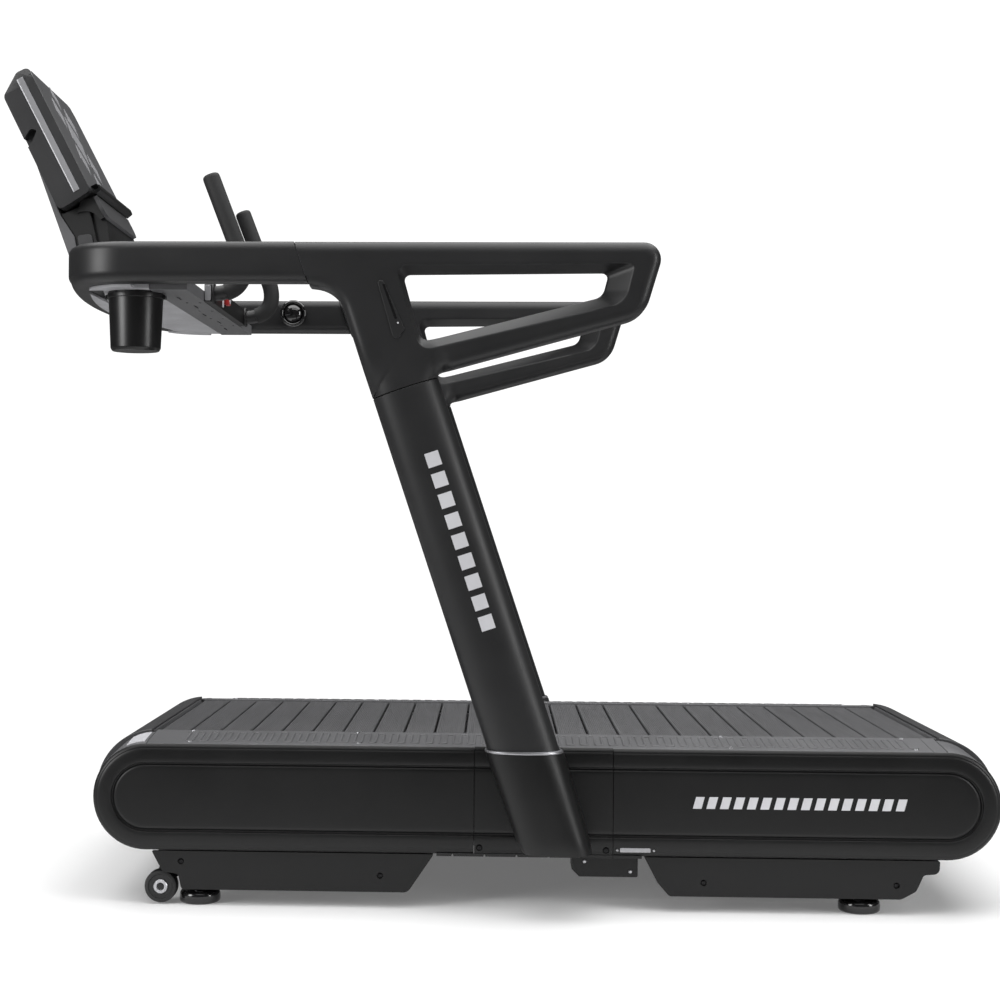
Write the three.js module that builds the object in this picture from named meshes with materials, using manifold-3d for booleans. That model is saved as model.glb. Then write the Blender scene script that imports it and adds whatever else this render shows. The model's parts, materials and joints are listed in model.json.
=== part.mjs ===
// Motor-driven slat-belt treadmill, standing on the plane z = 0. Millimetres, +Z up.
// The runner stands on the deck facing -X, towards the console; -Y is the runner's left-hand side.
import * as THREE from "three";
import { mergeVertices } from "three/addons/utils/BufferGeometryUtils.js";
import Module from "manifold-3d";

const wasm = await Module();
wasm.setup();

// ---- driving dimensions --------------------------------------------------------------------
const GAP = 0.4; // clearance between pieces that touch
const SIDES = { left: -1, right: 1 };

// slat belt and drums
const FRONT_AXLE_X = -638;
const REAR_AXLE_X = 862;
const AXLE_Z = 206;
const SLAT_PITCH = 60;
const SLATS_PER_TURN = 10;
const SLATS_PER_RUN = (REAR_AXLE_X - FRONT_AXLE_X) / SLAT_PITCH;
const SLAT_WIDTH = 57;
const SLAT_HALF_LENGTH = 275;
const SLAT_INNER_R = 98; // distance from the drum axis to the underside of a slat
const TREAD_R = 108; // distance from the drum axis to the tread surface
const COG_BELT_R = 90;
const COG_BELT_Y = [215, 245];
const COG_BELT_END = 4; // how far each cog belt stretch stops short of the drum's tangent point
const DRUM_R = COG_BELT_R - 0.3;
const DRUM_TUBE_R = 30;
const DRUM_DISC_Y = [205, 255];
const SHAFT_R = 15;
const SHAFT_END_Y = 336;

// frame
const RAIL_Y = [300, 340];
const RAIL_Z = [146, 299.5];
const RAIL_X = [-600, 824];
const LEG_X = [-541, 709];
const LEG_Y = 350;
const LEG_HALF = 30;
const LEG_BOTTOM = 55;
const STUD_R = 7;

// housing
const COVER_R = 100;
const COVER_WALL = 6;
const COVER_Y = [279, 404];
const COVER_SEAMS_X = [-18, 242];
const PANEL_INSET = 35;
const PANEL_DEPTH = 2.5;
const PLATFORM_Y = [279, 395];
const END_COVER_R = [112.6, 115];
const END_COVER_Y = 300;

// uprights and handrails
const LEAN = THREE.MathUtils.degToRad(18.5);
const RAIL_OUTER_Y = 510;
const UPRIGHT_HALF_X = 63;
const UPRIGHT_HALF_Y = 42;
const UPRIGHT_Y = RAIL_OUTER_Y - UPRIGHT_HALF_Y;
const UPRIGHT_SEAM = new THREE.Vector3(-148.5, 0, 973.5);
const UPRIGHT_LENGTH = 860;
const RING_Z = 315;
const RING_THICK = 7;
const HANDRAIL_Z = [1165, 1240];
const HANDRAIL_THICK = 70;

// console
const CONSOLE_HALF_Y = 170;
const GRIP_Y = 226;
const GRIP_R = 16.2;
const CUP = { x: -668, y: -372, r: 51.5, rBase: 47, bottom: 1048, top: 1184 };
const TRAY_Z = [1160, 1181];
const TRAY_REAR_X = -544;

// ---- geometry helpers ----------------------------------------------------------------------
function asSolid(geometry) {
  const bare = geometry.clone();
  bare.deleteAttribute("normal");
  bare.deleteAttribute("uv");
  const merged = mergeVertices(bare, 1e-4);
  const mesh = new wasm.Mesh({
    numProp: 3,
    vertProperties: new Float32Array(merged.attributes.position.array),
    triVerts: new Uint32Array(merged.index.array),
  });
  return new wasm.Manifold(mesh);
}

function asGeometry(solid) {
  const mesh = solid.getMesh();
  const geometry = new THREE.BufferGeometry();
  geometry.setAttribute("position", new THREE.BufferAttribute(mesh.vertProperties, 3));
  geometry.setIndex(new THREE.BufferAttribute(mesh.triVerts, 1));
  return geometry;
}

function join(...geometries) {
  return asGeometry(geometries.map(asSolid).reduce((sum, piece) => sum.add(piece)));
}

function cut(geometry, ...tools) {
  return asGeometry(tools.map(asSolid).reduce((rest, tool) => rest.subtract(tool), asSolid(geometry)));
}

function common(geometry, tool) {
  return asGeometry(asSolid(geometry).intersect(asSolid(tool)));
}

function box([x0, x1], [y0, y1], [z0, z1]) {
  const geometry = new THREE.BoxGeometry(x1 - x0, y1 - y0, z1 - z0);
  return geometry.translate((x0 + x1) / 2, (y0 + y1) / 2, (z0 + z1) / 2);
}

function grown([low, high], margin) {
  return [low - margin, high + margin];
}

// A span of Y on one side of the machine, given as distances from the centre plane.
function sideSpan(side, [inner, outer]) {
  return side > 0 ? [inner, outer] : [-outer, -inner];
}

function extrude(shape, depth, bevel = 0, curveSegments = 8) {
  return new THREE.ExtrudeGeometry(shape, {
    depth: depth - 2 * bevel,
    bevelEnabled: bevel > 0,
    bevelThickness: bevel,
    bevelSize: bevel,
    bevelOffset: -bevel,
    bevelSegments: 1,
    curveSegments,
  }).translate(0, 0, bevel);
}

// Outline in X and Z, swept from y0 to y1.
function extrudeY(shape, [y0, y1], bevel = 0, curveSegments = 8) {
  return extrude(shape, y1 - y0, bevel, curveSegments).rotateX(Math.PI / 2).translate(0, y1, 0);
}

// Outline in X and Y, swept from z0 to z1.
function extrudeZ(shape, [z0, z1], bevel = 0, curveSegments = 8) {
  return extrude(shape, z1 - z0, bevel, curveSegments).translate(0, 0, z0);
}

// Outline in Y and Z, swept from x0 to x1.
function extrudeX(shape, [x0, x1]) {
  const turn = new THREE.Matrix4().makeBasis(
    new THREE.Vector3(0, 1, 0), new THREE.Vector3(0, 0, 1), new THREE.Vector3(1, 0, 0));
  return extrude(shape, x1 - x0).applyMatrix4(turn).translate(x0, 0, 0);
}

function ovalPoints(radiusA, radiusB, count) {
  return Array.from({ length: count }, (_, i) => {
    const angle = (2 * Math.PI * i) / count;
    return new THREE.Vector2(radiusA * Math.cos(angle), radiusB * Math.sin(angle));
  });
}

function cylinderY(radius, [y0, y1], x, z, segments = 20) {
  return new THREE.CylinderGeometry(radius, radius, y1 - y0, segments).translate(x, (y0 + y1) / 2, z);
}

function cylinderZ(radius, [z0, z1], x, y, segments = 20) {
  const geometry = new THREE.CylinderGeometry(radius, radius, z1 - z0, segments);
  return geometry.rotateX(Math.PI / 2).translate(x, y, (z0 + z1) / 2);
}

// Closed outline through corners given as [a, b, fillet radius].
function roundedOutline(corners, arcSteps = 5) {
  const points = [];
  corners.forEach(([a, b, radius = 0], i) => {
    const corner = new THREE.Vector2(a, b);
    if (radius === 0) {
      points.push(corner);
      return;
    }
    const [pa, pb] = corners[(i + corners.length - 1) % corners.length];
    const [na, nb] = corners[(i + 1) % corners.length];
    const back = new THREE.Vector2(pa, pb).sub(corner).normalize();
    const ahead = new THREE.Vector2(na, nb).sub(corner).normalize();
    const half = Math.acos(back.dot(ahead)) / 2;
    const start = corner.clone().addScaledVector(back, radius / Math.tan(half));
    const bisector = back.clone().add(ahead).normalize();
    const centre = corner.clone().addScaledVector(bisector, radius / Math.sin(half));
    const turn = (Math.PI - 2 * half) * Math.sign(ahead.cross(back));
    for (let step = 0; step <= arcSteps; step++) {
      points.push(start.clone().rotateAround(centre, (turn * step) / arcSteps));
    }
  });
  return points;
}

function roundedShape(corners, arcSteps) {
  return new THREE.Shape(roundedOutline(corners, arcSteps));
}

// Stadium outline around the two drum axles, in X and Z.
function racetrack(radius) {
  const shape = new THREE.Shape();
  shape.absarc(FRONT_AXLE_X, AXLE_Z, radius, Math.PI / 2, 1.5 * Math.PI, false);
  shape.absarc(REAR_AXLE_X, AXLE_Z, radius, -Math.PI / 2, Math.PI / 2, false);
  return shape;
}

// Part of a ring in X and Z around an axle, between two angles measured from +X towards +Z.
function ringSector(x, inner, outer, from, to) {
  const shape = new THREE.Shape();
  shape.absarc(x, AXLE_Z, outer, from, to, false);
  shape.absarc(x, AXLE_Z, inner, to, from, true);
  return shape;
}

// ---- materials and nodes -------------------------------------------------------------------
const SURFACES = {
  frame_paint: { color: 0x1b1c1e, roughness: 0.5, metalness: 0.3 },
  cover_plastic: { color: 0x232426, roughness: 0.45, metalness: 0 },
  platform_plastic: { color: 0x4c4d50, roughness: 0.6, metalness: 0 },
  tray_plastic: { color: 0x6d6e71, roughness: 0.55, metalness: 0 },
  gloss_black: { color: 0x0c0c0e, roughness: 0.15, metalness: 0 },
  slat_rubber: { color: 0x47484b, roughness: 0.8, metalness: 0 },
  rubber: { color: 0x151516, roughness: 0.7, metalness: 0 },
  grip_foam: { color: 0x17181a, roughness: 0.75, metalness: 0 },
  chrome: { color: 0xd9dadc, roughness: 0.12, metalness: 1 },
  steel: { color: 0x9c9ea2, roughness: 0.35, metalness: 1 },
  aluminium: { color: 0xb6b8bc, roughness: 0.4, metalness: 1 },
  screen: { color: 0x2e2f32, roughness: 0.2, metalness: 0 },
  red_plastic: { color: 0xb01c1c, roughness: 0.4, metalness: 0 },
};
const treadmill = new THREE.Group();

function node(name, surface, geometry) {
  const mesh = new THREE.Mesh(geometry, new THREE.MeshStandardMaterial(SURFACES[surface]));
  mesh.name = name;
  treadmill.add(mesh);
}

// ---- base frame ----------------------------------------------------------------------------
const OUTRIGGER = { x: [80, 140], z: [176, 236], endY: 425 }; // cross tube that carries the uprights
const CONTROLLER_SHELF_Z = [146, 150];
const WHEEL = { x: -611, z: 34, r: 31, y: [360, 386], bore: 6.5 };

function baseFrame() {
  const parts = [
    box(OUTRIGGER.x, [-OUTRIGGER.endY, OUTRIGGER.endY], OUTRIGGER.z),
    box([500, 560], [-RAIL_Y[0] - 1, RAIL_Y[0] + 1], OUTRIGGER.z),
    box([-455, -405], [-RAIL_Y[1], RAIL_Y[1]], [122, RAIL_Z[0] + 0.4]),
    box([-280, -40], [-RAIL_Y[0] - 1, RAIL_Y[0] + 1], CONTROLLER_SHELF_Z),
  ];
  for (const side of Object.values(SIDES)) {
    parts.push(box(RAIL_X, sideSpan(side, RAIL_Y), RAIL_Z));
    for (const x of LEG_X) {
      const span = sideSpan(side, [LEG_Y - LEG_HALF, LEG_Y + LEG_HALF]);
      parts.push(box([x - LEG_HALF, x + LEG_HALF], span, [LEG_BOTTOM, 160]));
    }
    const plate = roundedShape([[-625, 20, 8], [-565, 60, 0], [-565, 110, 0], [-600, 110, 0], [-625, 50, 8]]);
    parts.push(extrudeY(plate, sideSpan(side, [348, 356])));
    parts.push(cylinderY(WHEEL.bore - 0.4, sideSpan(side, [350, 386]), WHEEL.x, WHEEL.z, 12));
  }
  const studHoles = Object.values(SIDES).flatMap((side) =>
    LEG_X.map((x) => cylinderZ(STUD_R + 0.4, [LEG_BOTTOM - 5, 115], x, side * LEG_Y, 12)));
  return cut(join(...parts), ...studHoles);
}

// Low-friction rail under the slats, on each side of the motor.
function slatRail(side) {
  const section = sideSpan(side, [150, 185]);
  const rail = box([-560, 784], section, [236 + GAP, 290]);
  const strip = box([-560, 784], sideSpan(side, [158, 177]), [289, AXLE_Z + SLAT_INNER_R - GAP]);
  return join(rail, strip);
}

function bearingBlock(axleX, side, direction) {
  const xs = [axleX - direction * 32, axleX + direction * (38 - GAP)].sort((a, b) => a - b);
  const block = box(xs, sideSpan(side, RAIL_Y), [AXLE_Z - 40, AXLE_Z + 40]);
  return cut(block, cylinderY(SHAFT_R + GAP, [side * 320 - 30, side * 320 + 30], axleX, AXLE_Z));
}

function levellingFoot(x, side) {
  const profile = [[0, 0], [34, 0], [39, 6], [39, 18], [35, 23], [14, 24], [STUD_R + 4, 32], [STUD_R, 32],
    [STUD_R, 100], [0, 100]].map(([r, z]) => new THREE.Vector2(r, z));
  return new THREE.LatheGeometry(profile, 24).rotateX(Math.PI / 2).translate(x, side * LEG_Y, 0);
}

function transportWheel(side) {
  const [y0, y1] = sideSpan(side, [WHEEL.y[0], WHEEL.y[1]]);
  const profile = [[WHEEL.bore, y0], [WHEEL.r - 3, y0], [WHEEL.r, y0 + 3], [WHEEL.r, y1 - 3],
    [WHEEL.r - 3, y1], [WHEEL.bore, y1], [WHEEL.bore, y0]].map(([r, y]) => new THREE.Vector2(r, y));
  return new THREE.LatheGeometry(profile, 24).translate(WHEEL.x, 0, WHEEL.z);
}

// ---- slat belt -----------------------------------------------------------------------------
function slat() {
  const half = SLAT_WIDTH / 2;
  return box([-half, half], [-SLAT_HALF_LENGTH, SLAT_HALF_LENGTH], [SLAT_INNER_R, TREAD_R]);
}

// One straight stretch of the belt; level is +1 for the upper run and -1 for the return run.
function beltRun(level) {
  const parts = [];
  for (const side of Object.values(SIDES)) {
    const zs = [level * COG_BELT_R, level * (SLAT_INNER_R + 0.5)].sort((a, b) => a - b);
    const xs = [FRONT_AXLE_X + COG_BELT_END, REAR_AXLE_X - COG_BELT_END];
    parts.push(box(xs, sideSpan(side, COG_BELT_Y), zs.map((z) => AXLE_Z + z)));
  }
  for (let i = 0; i < SLATS_PER_RUN; i++) {
    const x = FRONT_AXLE_X + SLAT_PITCH * (i + 0.5);
    parts.push(slat().rotateY(level > 0 ? 0 : Math.PI).translate(x, 0, AXLE_Z));
  }
  return join(...parts);
}

// The half turn of belt around a drum; direction is -1 at the front and +1 at the rear.
function beltWrap(axleX, direction) {
  const trim = COG_BELT_END / COG_BELT_R;
  const from = (direction > 0 ? -Math.PI / 2 : Math.PI / 2) + trim;
  const sector = ringSector(axleX, COG_BELT_R, SLAT_INNER_R + 1, from, from + Math.PI - 2 * trim);
  const parts = Object.values(SIDES).map((side) => extrudeY(sector, sideSpan(side, COG_BELT_Y), 0, 12));
  const step = (2 * Math.PI) / SLATS_PER_TURN;
  for (let i = 0; i < SLATS_PER_TURN / 2; i++) {
    parts.push(slat().rotateY(direction * step * (i + 0.5)).translate(axleX, 0, AXLE_Z));
  }
  return join(...parts);
}

function drum(axleX) {
  const half = [[SHAFT_R, SHAFT_END_Y], [SHAFT_R, DRUM_DISC_Y[1]], [DRUM_R, DRUM_DISC_Y[1]],
    [DRUM_R, DRUM_DISC_Y[0]], [DRUM_TUBE_R, DRUM_DISC_Y[0]]];
  const lower = half.map(([r, y]) => [r, -y]);
  const profile = [[0, -SHAFT_END_Y], ...lower, ...half.reverse(), [0, SHAFT_END_Y]];
  const points = profile.map(([r, y]) => new THREE.Vector2(r, y));
  return new THREE.LatheGeometry(points, 24).translate(axleX, 0, AXLE_Z);
}

// ---- drive ---------------------------------------------------------------------------------
const MOTOR_X = -430;
const PULLEY_Y = [281, 297];
const DRUM_PULLEY_R = 60;
const MOTOR_PULLEY_R = 25;
const DRIVE_BELT_THICK = 4;

function drumPulley() {
  const wheel = cylinderY(DRUM_PULLEY_R, PULLEY_Y, FRONT_AXLE_X, AXLE_Z, 24);
  return cut(wheel, cylinderY(SHAFT_R + GAP, [270, 310], FRONT_AXLE_X, AXLE_Z));
}

function motorCase() {
  const body = cylinderY(60, [-140, 140], MOTOR_X, AXLE_Z + 1, 24);
  const bore = cylinderY(11, [-150, 150], MOTOR_X, AXLE_Z + 1, 16);
  return cut(body, bore);
}

function motorRotor() {
  const z = AXLE_Z + 1;
  return join(cylinderY(10, [-130, 296], MOTOR_X, z, 16), cylinderY(MOTOR_PULLEY_R, PULLEY_Y, MOTOR_X, z));
}

// Outline around both pulleys, held off their rims by the given distance.
function beltOutline(offset) {
  const span = MOTOR_X - FRONT_AXLE_X;
  const tilt = Math.acos((DRUM_PULLEY_R - MOTOR_PULLEY_R) / span);
  const outline = new THREE.Path();
  outline.absarc(FRONT_AXLE_X, AXLE_Z, DRUM_PULLEY_R + offset, tilt, 2 * Math.PI - tilt, false);
  outline.absarc(MOTOR_X, AXLE_Z + 1, MOTOR_PULLEY_R + offset, -tilt, tilt, false);
  return outline.getPoints(12);
}

function driveBelt() {
  const shape = new THREE.Shape(beltOutline(DRIVE_BELT_THICK));
  shape.holes.push(new THREE.Path(beltOutline(GAP)));
  return extrudeY(shape, [PULLEY_Y[0] + 1, PULLEY_Y[1] - 1]);
}

const INLET = { x: [166, 290], y: [-382, -322], z: [63, 103] };

// Power inlet box under the left rail, with the plug socket in its rear end.
function powerInlet() {
  const outline = roundedShape([[INLET.x[0], INLET.z[0] + 14, 0], [INLET.x[0] + 14, INLET.z[0], 0],
    [INLET.x[1], INLET.z[0], 0], [INLET.x[1], INLET.z[1], 0], [INLET.x[0], INLET.z[1], 0]]);
  const housing = extrudeY(outline, INLET.y);
  const neck = box([INLET.x[0] + 20, INLET.x[1] - 20], [-336, -304], [INLET.z[1] - 5, RAIL_Z[0] - GAP]);
  const socket = box([INLET.x[1] - 18, INLET.x[1] + 5], [-365, -338], [73, 93]);
  return cut(join(housing, neck), socket);
}

// ---- housing -------------------------------------------------------------------------------
function sideCover(side, [x0, x1]) {
  const shell = extrudeY(racetrack(COVER_R), sideSpan(side, COVER_Y), 0, 12);
  const face = sideSpan(side, [COVER_Y[1] - PANEL_DEPTH, COVER_Y[1] + 5]);
  const tools = [
    extrudeY(racetrack(COVER_R - 4), sideSpan(side, [COVER_Y[0] - 5, COVER_Y[1] - COVER_WALL]), 0, 12),
    extrudeY(racetrack(COVER_R - PANEL_INSET), face, 0, 12),
    box([FRONT_AXLE_X - 1, REAR_AXLE_X + 1], sideSpan(side, [270, PLATFORM_Y[1] + 0.5]), [285, 320]),
    box([-650, 870], sideSpan(side, [270, 386]), [90, 125]),
  ];
  if (x0 < OUTRIGGER.x[0] && x1 > OUTRIGGER.x[1]) {
    const port = grown(OUTRIGGER.x, 4);
    tools.push(box(port, sideSpan(side, [380, 420]), grown(OUTRIGGER.z, 4)));
  }
  const slab = box([x0, x1], sideSpan(side, [270, 410]), [90, 320]);
  return common(cut(shell, ...tools), slab);
}

function footPlatform(side) {
  const [inner, outer] = PLATFORM_Y;
  const section = new THREE.Shape([[inner, 300], [outer, 300], [outer, 306], [inner, 318]]
    .map(([y, z]) => new THREE.Vector2(side * y, z)));
  return extrudeX(section, [FRONT_AXLE_X, REAR_AXLE_X]);
}

// Channel over the belt where it turns down around a drum; direction is -1 at the front.
function endCover(axleX, direction) {
  const [inner, outer] = END_COVER_R;
  const top = THREE.MathUtils.degToRad(direction > 0 ? 86 : 94);
  const low = THREE.MathUtils.degToRad(direction > 0 ? -52 : 232);
  const [from, to] = [top, low].sort((a, b) => a - b);
  const sector = ringSector(axleX, COVER_R + GAP, outer, from, to);
  const ring = extrudeY(sector, [-END_COVER_Y, END_COVER_Y], 0, 12);
  const belt = extrudeY(ringSector(axleX, COVER_R - 5, inner, from - 0.1, to + 0.1), [-278, 278], 0, 12);
  return cut(ring, belt);
}

const FOOT_COVER_OUTLINES = {
  front: [[-627, 103.5, 0], [-612, 72, 0], [-560, 70, 0], [-560, 42, 10], [-548, 32, 6], [-140, 32, 14],
    [-96, 80, 20], [-95, 103.5, 0]],
  rear: [[305, 103.5, 0], [306, 80, 16], [350, 32, 14], [780, 32, 14], [800, 60, 10], [840, 84, 14],
    [852, 103.5, 0]],
};

function footCover(end, side) {
  const outline = roundedShape(FOOT_COVER_OUTLINES[end]);
  const body = extrudeY(outline, sideSpan(side, [302, 394]));
  const legX = end === "front" ? LEG_X[0] : LEG_X[1];
  const hollow = end === "front" ? [-553, -150] : [360, 776];
  const tools = [
    box(hollow, sideSpan(side, [310, 388]), [38, 110]),
    box([legX - LEG_HALF - 2, legX + LEG_HALF + 2], sideSpan(side, [316, 384]), [38, 110]),
    cylinderZ(42, [25, 45], legX, side * LEG_Y, 28),
  ];
  if (end === "front") tools.push(box([-640, -570], sideSpan(side, [346, 389]), [60, 110]));
  return cut(body, ...tools);
}

// ---- uprights and handrails ----------------------------------------------------------------
// Prism of oval section along the leaning upright, between two distances down from its top seam.
function leaningPrism(side, grow, from, to) {
  const oval = new THREE.Shape(ovalPoints(UPRIGHT_HALF_X + grow, UPRIGHT_HALF_Y + grow, 24));
  return extrude(oval, to - from).translate(0, 0, -to).rotateY(-LEAN)
    .translate(UPRIGHT_SEAM.x, side * UPRIGHT_Y, UPRIGHT_SEAM.z);
}

const RING_DOWN = (UPRIGHT_SEAM.z - RING_Z) / Math.cos(LEAN);

function upright(side) {
  return common(leaningPrism(side, 0, GAP, UPRIGHT_LENGTH), box([-400, 400], [-600, 600], [134, 1100]));
}

// Level trim ring where the upright leaves its boot.
function bootRing(side) {
  const level = box([-50, 250], [-600, 600], [RING_Z - RING_THICK, RING_Z]);
  const ring = common(leaningPrism(side, 7, RING_DOWN - 60, RING_DOWN + 60), level);
  return cut(ring, leaningPrism(side, 0.5, RING_DOWN - 90, RING_DOWN + 90));
}

function boot(side) {
  const top = RING_Z - RING_THICK - GAP;
  const outline = roundedShape([[3, top, 0], [52, 140, 20], [68, 124, 8], [204, 124, 8], [204, 140, 20],
    [152, top, 0]]);
  const span = sideSpan(side, [COVER_Y[1] + GAP, RAIL_OUTER_Y + 6]);
  const slab = box([-50, 250], span, [124.5, top]);
  const sheath = common(leaningPrism(side, 6, RING_DOWN - 60, UPRIGHT_LENGTH), slab);
  const portY = sideSpan(side, [400, OUTRIGGER.endY + 15]);
  const port = box(grown(OUTRIGGER.x, GAP), portY, grown(OUTRIGGER.z, GAP));
  const bore = leaningPrism(side, 0.5, -50, UPRIGHT_LENGTH + GAP);
  return cut(join(extrudeY(outline, span, 6), sheath), bore, port);
}

// Slanted seam between the handrail loop and the front bar, moved along X by the given distance.
function barSeam(shift) {
  const at = (z) => -353 + ((1240 - z) * 25) / 72 + shift;
  return [[at(1260), 1260], [at(1150), 1150]];
}

// Closed loop handrail with the stub that continues the upright.
function handrailLoop(side) {
  const outer = roundedShape([
    [-400, 1240, 0], [280, 1240, 38], [316, 1204, 24], [286, 1106, 50], [-85, 1003, 20],
    [-73, 937, 0], [-184, 896, 0], [-269, 1148, 60], [-400, 1168, 0]], 4);
  const hole = roundedOutline([[-152, 1184, 14], [226, 1186, 14], [214, 1132, 30], [-108, 1046, 22]], 4);
  outer.holes.push(new THREE.Path(hole.reverse()));
  const loop = extrudeY(outer, sideSpan(side, [RAIL_OUTER_Y - HANDRAIL_THICK, RAIL_OUTER_Y]), 14);
  const stub = leaningPrism(side, 0, -130, 0);
  const belowSeam = leaningPrism(side, 22, 0, 200);
  const [seamTop, seamLow] = barSeam(0);
  const beyondSeam = new THREE.Shape([[...seamTop], [...seamLow], [-500, 1150], [-500, 1260]]
    .map(([x, z]) => new THREE.Vector2(x, z)));
  return cut(join(loop, stub), belowSeam, extrudeY(beyondSeam, [-600, 600]));
}

const BAR = { frontX: -834, cornerX: -790, inset: 64, cornerR: 120 };

// Plan outline of the front bar, moved inwards by the given distance and open towards the runner.
function barOutline(offset) {
  const bowSteps = 8;
  const cornerSteps = 5;
  const half = RAIL_OUTER_Y - offset;
  const radius = BAR.cornerR - offset * 0.6;
  const bowHalf = half - radius;
  const flat = RAIL_OUTER_Y - BAR.cornerR;
  const bow = (y) => BAR.frontX + offset + (BAR.cornerX - BAR.frontX) * (y / flat) ** 2;
  const cornerCentre = new THREE.Vector2(bow(bowHalf) + radius, bowHalf);
  const corner = ovalPoints(radius, radius, 4 * cornerSteps).slice(cornerSteps, 2 * cornerSteps + 1)
    .map((point) => point.add(cornerCentre));
  const points = [new THREE.Vector2(-300, half), ...corner];
  for (let i = 1; i < bowSteps; i++) {
    const y = bowHalf * (1 - (2 * i) / bowSteps);
    points.push(new THREE.Vector2(bow(y), y));
  }
  const mirrored = corner.slice().reverse().map(({ x, y }) => new THREE.Vector2(x, -y));
  return [...points, ...mirrored, new THREE.Vector2(-300, -half)];
}

// U-shaped bar in front of the runner: two arms and a bowed front.
function frontBar() {
  const shape = new THREE.Shape([...barOutline(0), ...barOutline(BAR.inset).reverse()]);
  const [seamTop, seamLow] = barSeam(-0.6);
  const behindSeam = new THREE.Shape([[...seamTop], [-200, 1260], [-200, 1150], [...seamLow]]
    .map(([x, z]) => new THREE.Vector2(x, z)));
  return cut(extrudeZ(shape, HANDRAIL_Z, 16), extrudeY(behindSeam, [-600, 600]));
}

// ---- console -------------------------------------------------------------------------------
function consoleTray() {
  const plate = extrudeZ(new THREE.Shape(barOutline(BAR.inset + 1)), TRAY_Z);
  const trimmed = cut(plate, box([TRAY_REAR_X, 0], [-600, 600], [1100, 1300]));
  const lip = box([TRAY_REAR_X - 14, TRAY_REAR_X], [-246, 246], [1158, 1193]);
  const cupHole = cylinderZ(CUP.r + GAP, [1150, 1200], CUP.x, CUP.y, 24);
  const keySlot = box([TRAY_REAR_X - 8, TRAY_REAR_X + 5], [-83, -57], [1170, 1184]);
  return cut(join(trimmed, lip), cupHole, keySlot);
}

function cupHolder() {
  const wall = 3;
  const { r, rBase, bottom, top } = CUP;
  const profile = [
    [0, bottom], [rBase - 4, bottom], [rBase, bottom + 5], [r, TRAY_Z[0] - 12], [r + 4, TRAY_Z[0] - 12],
    [r + 4, TRAY_Z[0] - GAP], [r, TRAY_Z[0] - GAP], [r, TRAY_Z[1] + GAP], [r + 6, TRAY_Z[1] + GAP],
    [r + 6, top + 2], [r - wall, top + 2], [rBase - wall, bottom + 7], [0, bottom + 7],
  ].map(([a, b]) => new THREE.Vector2(a, b));
  return new THREE.LatheGeometry(profile, 24).rotateX(Math.PI / 2).translate(CUP.x, CUP.y, 0);
}

function handGrip(side) {
  const y = side * GRIP_Y;
  const at = (x, z) => new THREE.Vector3(x, y, z);
  const path = new THREE.CurvePath();
  path.add(new THREE.LineCurve3(at(-552, 1414), at(-491, 1255)));
  const foot = at(TRAY_REAR_X + GAP, 1176);
  path.add(new THREE.CubicBezierCurve3(at(-491, 1255), at(-476, 1216), at(-484, 1176), foot));
  const section = new THREE.Shape(ovalPoints(GRIP_R, GRIP_R, 12));
  return new THREE.ExtrudeGeometry(section, { steps: 16, extrudePath: path });
}

const DIAL = { x: -458, z: 1207, ringR: 31, capR: 28, neckR: 10 };

function dial(side) {
  const inner = RAIL_OUTER_Y - BAR.inset;
  return join(
    cylinderY(DIAL.ringR, sideSpan(side, [inner - 28, inner - 3]), DIAL.x, DIAL.z),
    cylinderY(DIAL.capR, sideSpan(side, [inner - 31, inner - 27]), DIAL.x, DIAL.z),
    cylinderY(DIAL.neckR, sideSpan(side, [inner - 4, inner - GAP]), DIAL.x, DIAL.z, 12));
}

function safetyKey() {
  const stem = box([TRAY_REAR_X - 7, TRAY_REAR_X + 3], [-81, -59], [1171.5, 1182.5]);
  const pull = extrudeY(roundedShape([[TRAY_REAR_X + 2, 1168, 0], [TRAY_REAR_X + 18, 1168, 5],
    [TRAY_REAR_X + 18, 1186, 5], [TRAY_REAR_X + 2, 1186, 0]]), [-86, -54]);
  return join(stem, pull);
}

const FACE_TOP = [-928, 1633];
const FACE_BOTTOM = [-801, 1389];
const BACK_BOTTOM = [-865, 1348];
const BACK_TOP = [-979, 1577];
const FACE_ANGLE = Math.atan2(FACE_BOTTOM[0] - FACE_TOP[0], FACE_TOP[1] - FACE_BOTTOM[1]);
const FACE_LENGTH = Math.hypot(FACE_TOP[0] - FACE_BOTTOM[0], FACE_TOP[1] - FACE_BOTTOM[1]);
const SCREEN_THICK = 5;

// Moves a point out of the console face by a distance; negative goes into the housing.
function offFace([x, z], distance, along = 0) {
  const [c, s] = [Math.cos(FACE_ANGLE), Math.sin(FACE_ANGLE)];
  return [x + distance * c - along * s, z + distance * s + along * c];
}

// Slab in the plane of the console face with clipped upper corners, drawn in Y and along the face.
function faceSlab(halfY, v0, v1, depth0, depth1, clip) {
  const shape = roundedShape([
    [-halfY, v0, 10], [halfY, v0, 10], [halfY, v1 - clip, 12], [halfY - clip, v1, 20],
    [clip - halfY, v1, 20], [-halfY, v1 - clip, 12]], 3);
  const turn = new THREE.Matrix4().makeBasis(
    new THREE.Vector3(0, 1, 0),
    new THREE.Vector3(-Math.sin(FACE_ANGLE), 0, Math.cos(FACE_ANGLE)),
    new THREE.Vector3(Math.cos(FACE_ANGLE), 0, Math.sin(FACE_ANGLE)));
  const [x, z] = offFace(FACE_BOTTOM, depth0);
  return extrude(shape, depth1 - depth0).applyMatrix4(turn).translate(x, 0, z);
}

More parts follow.
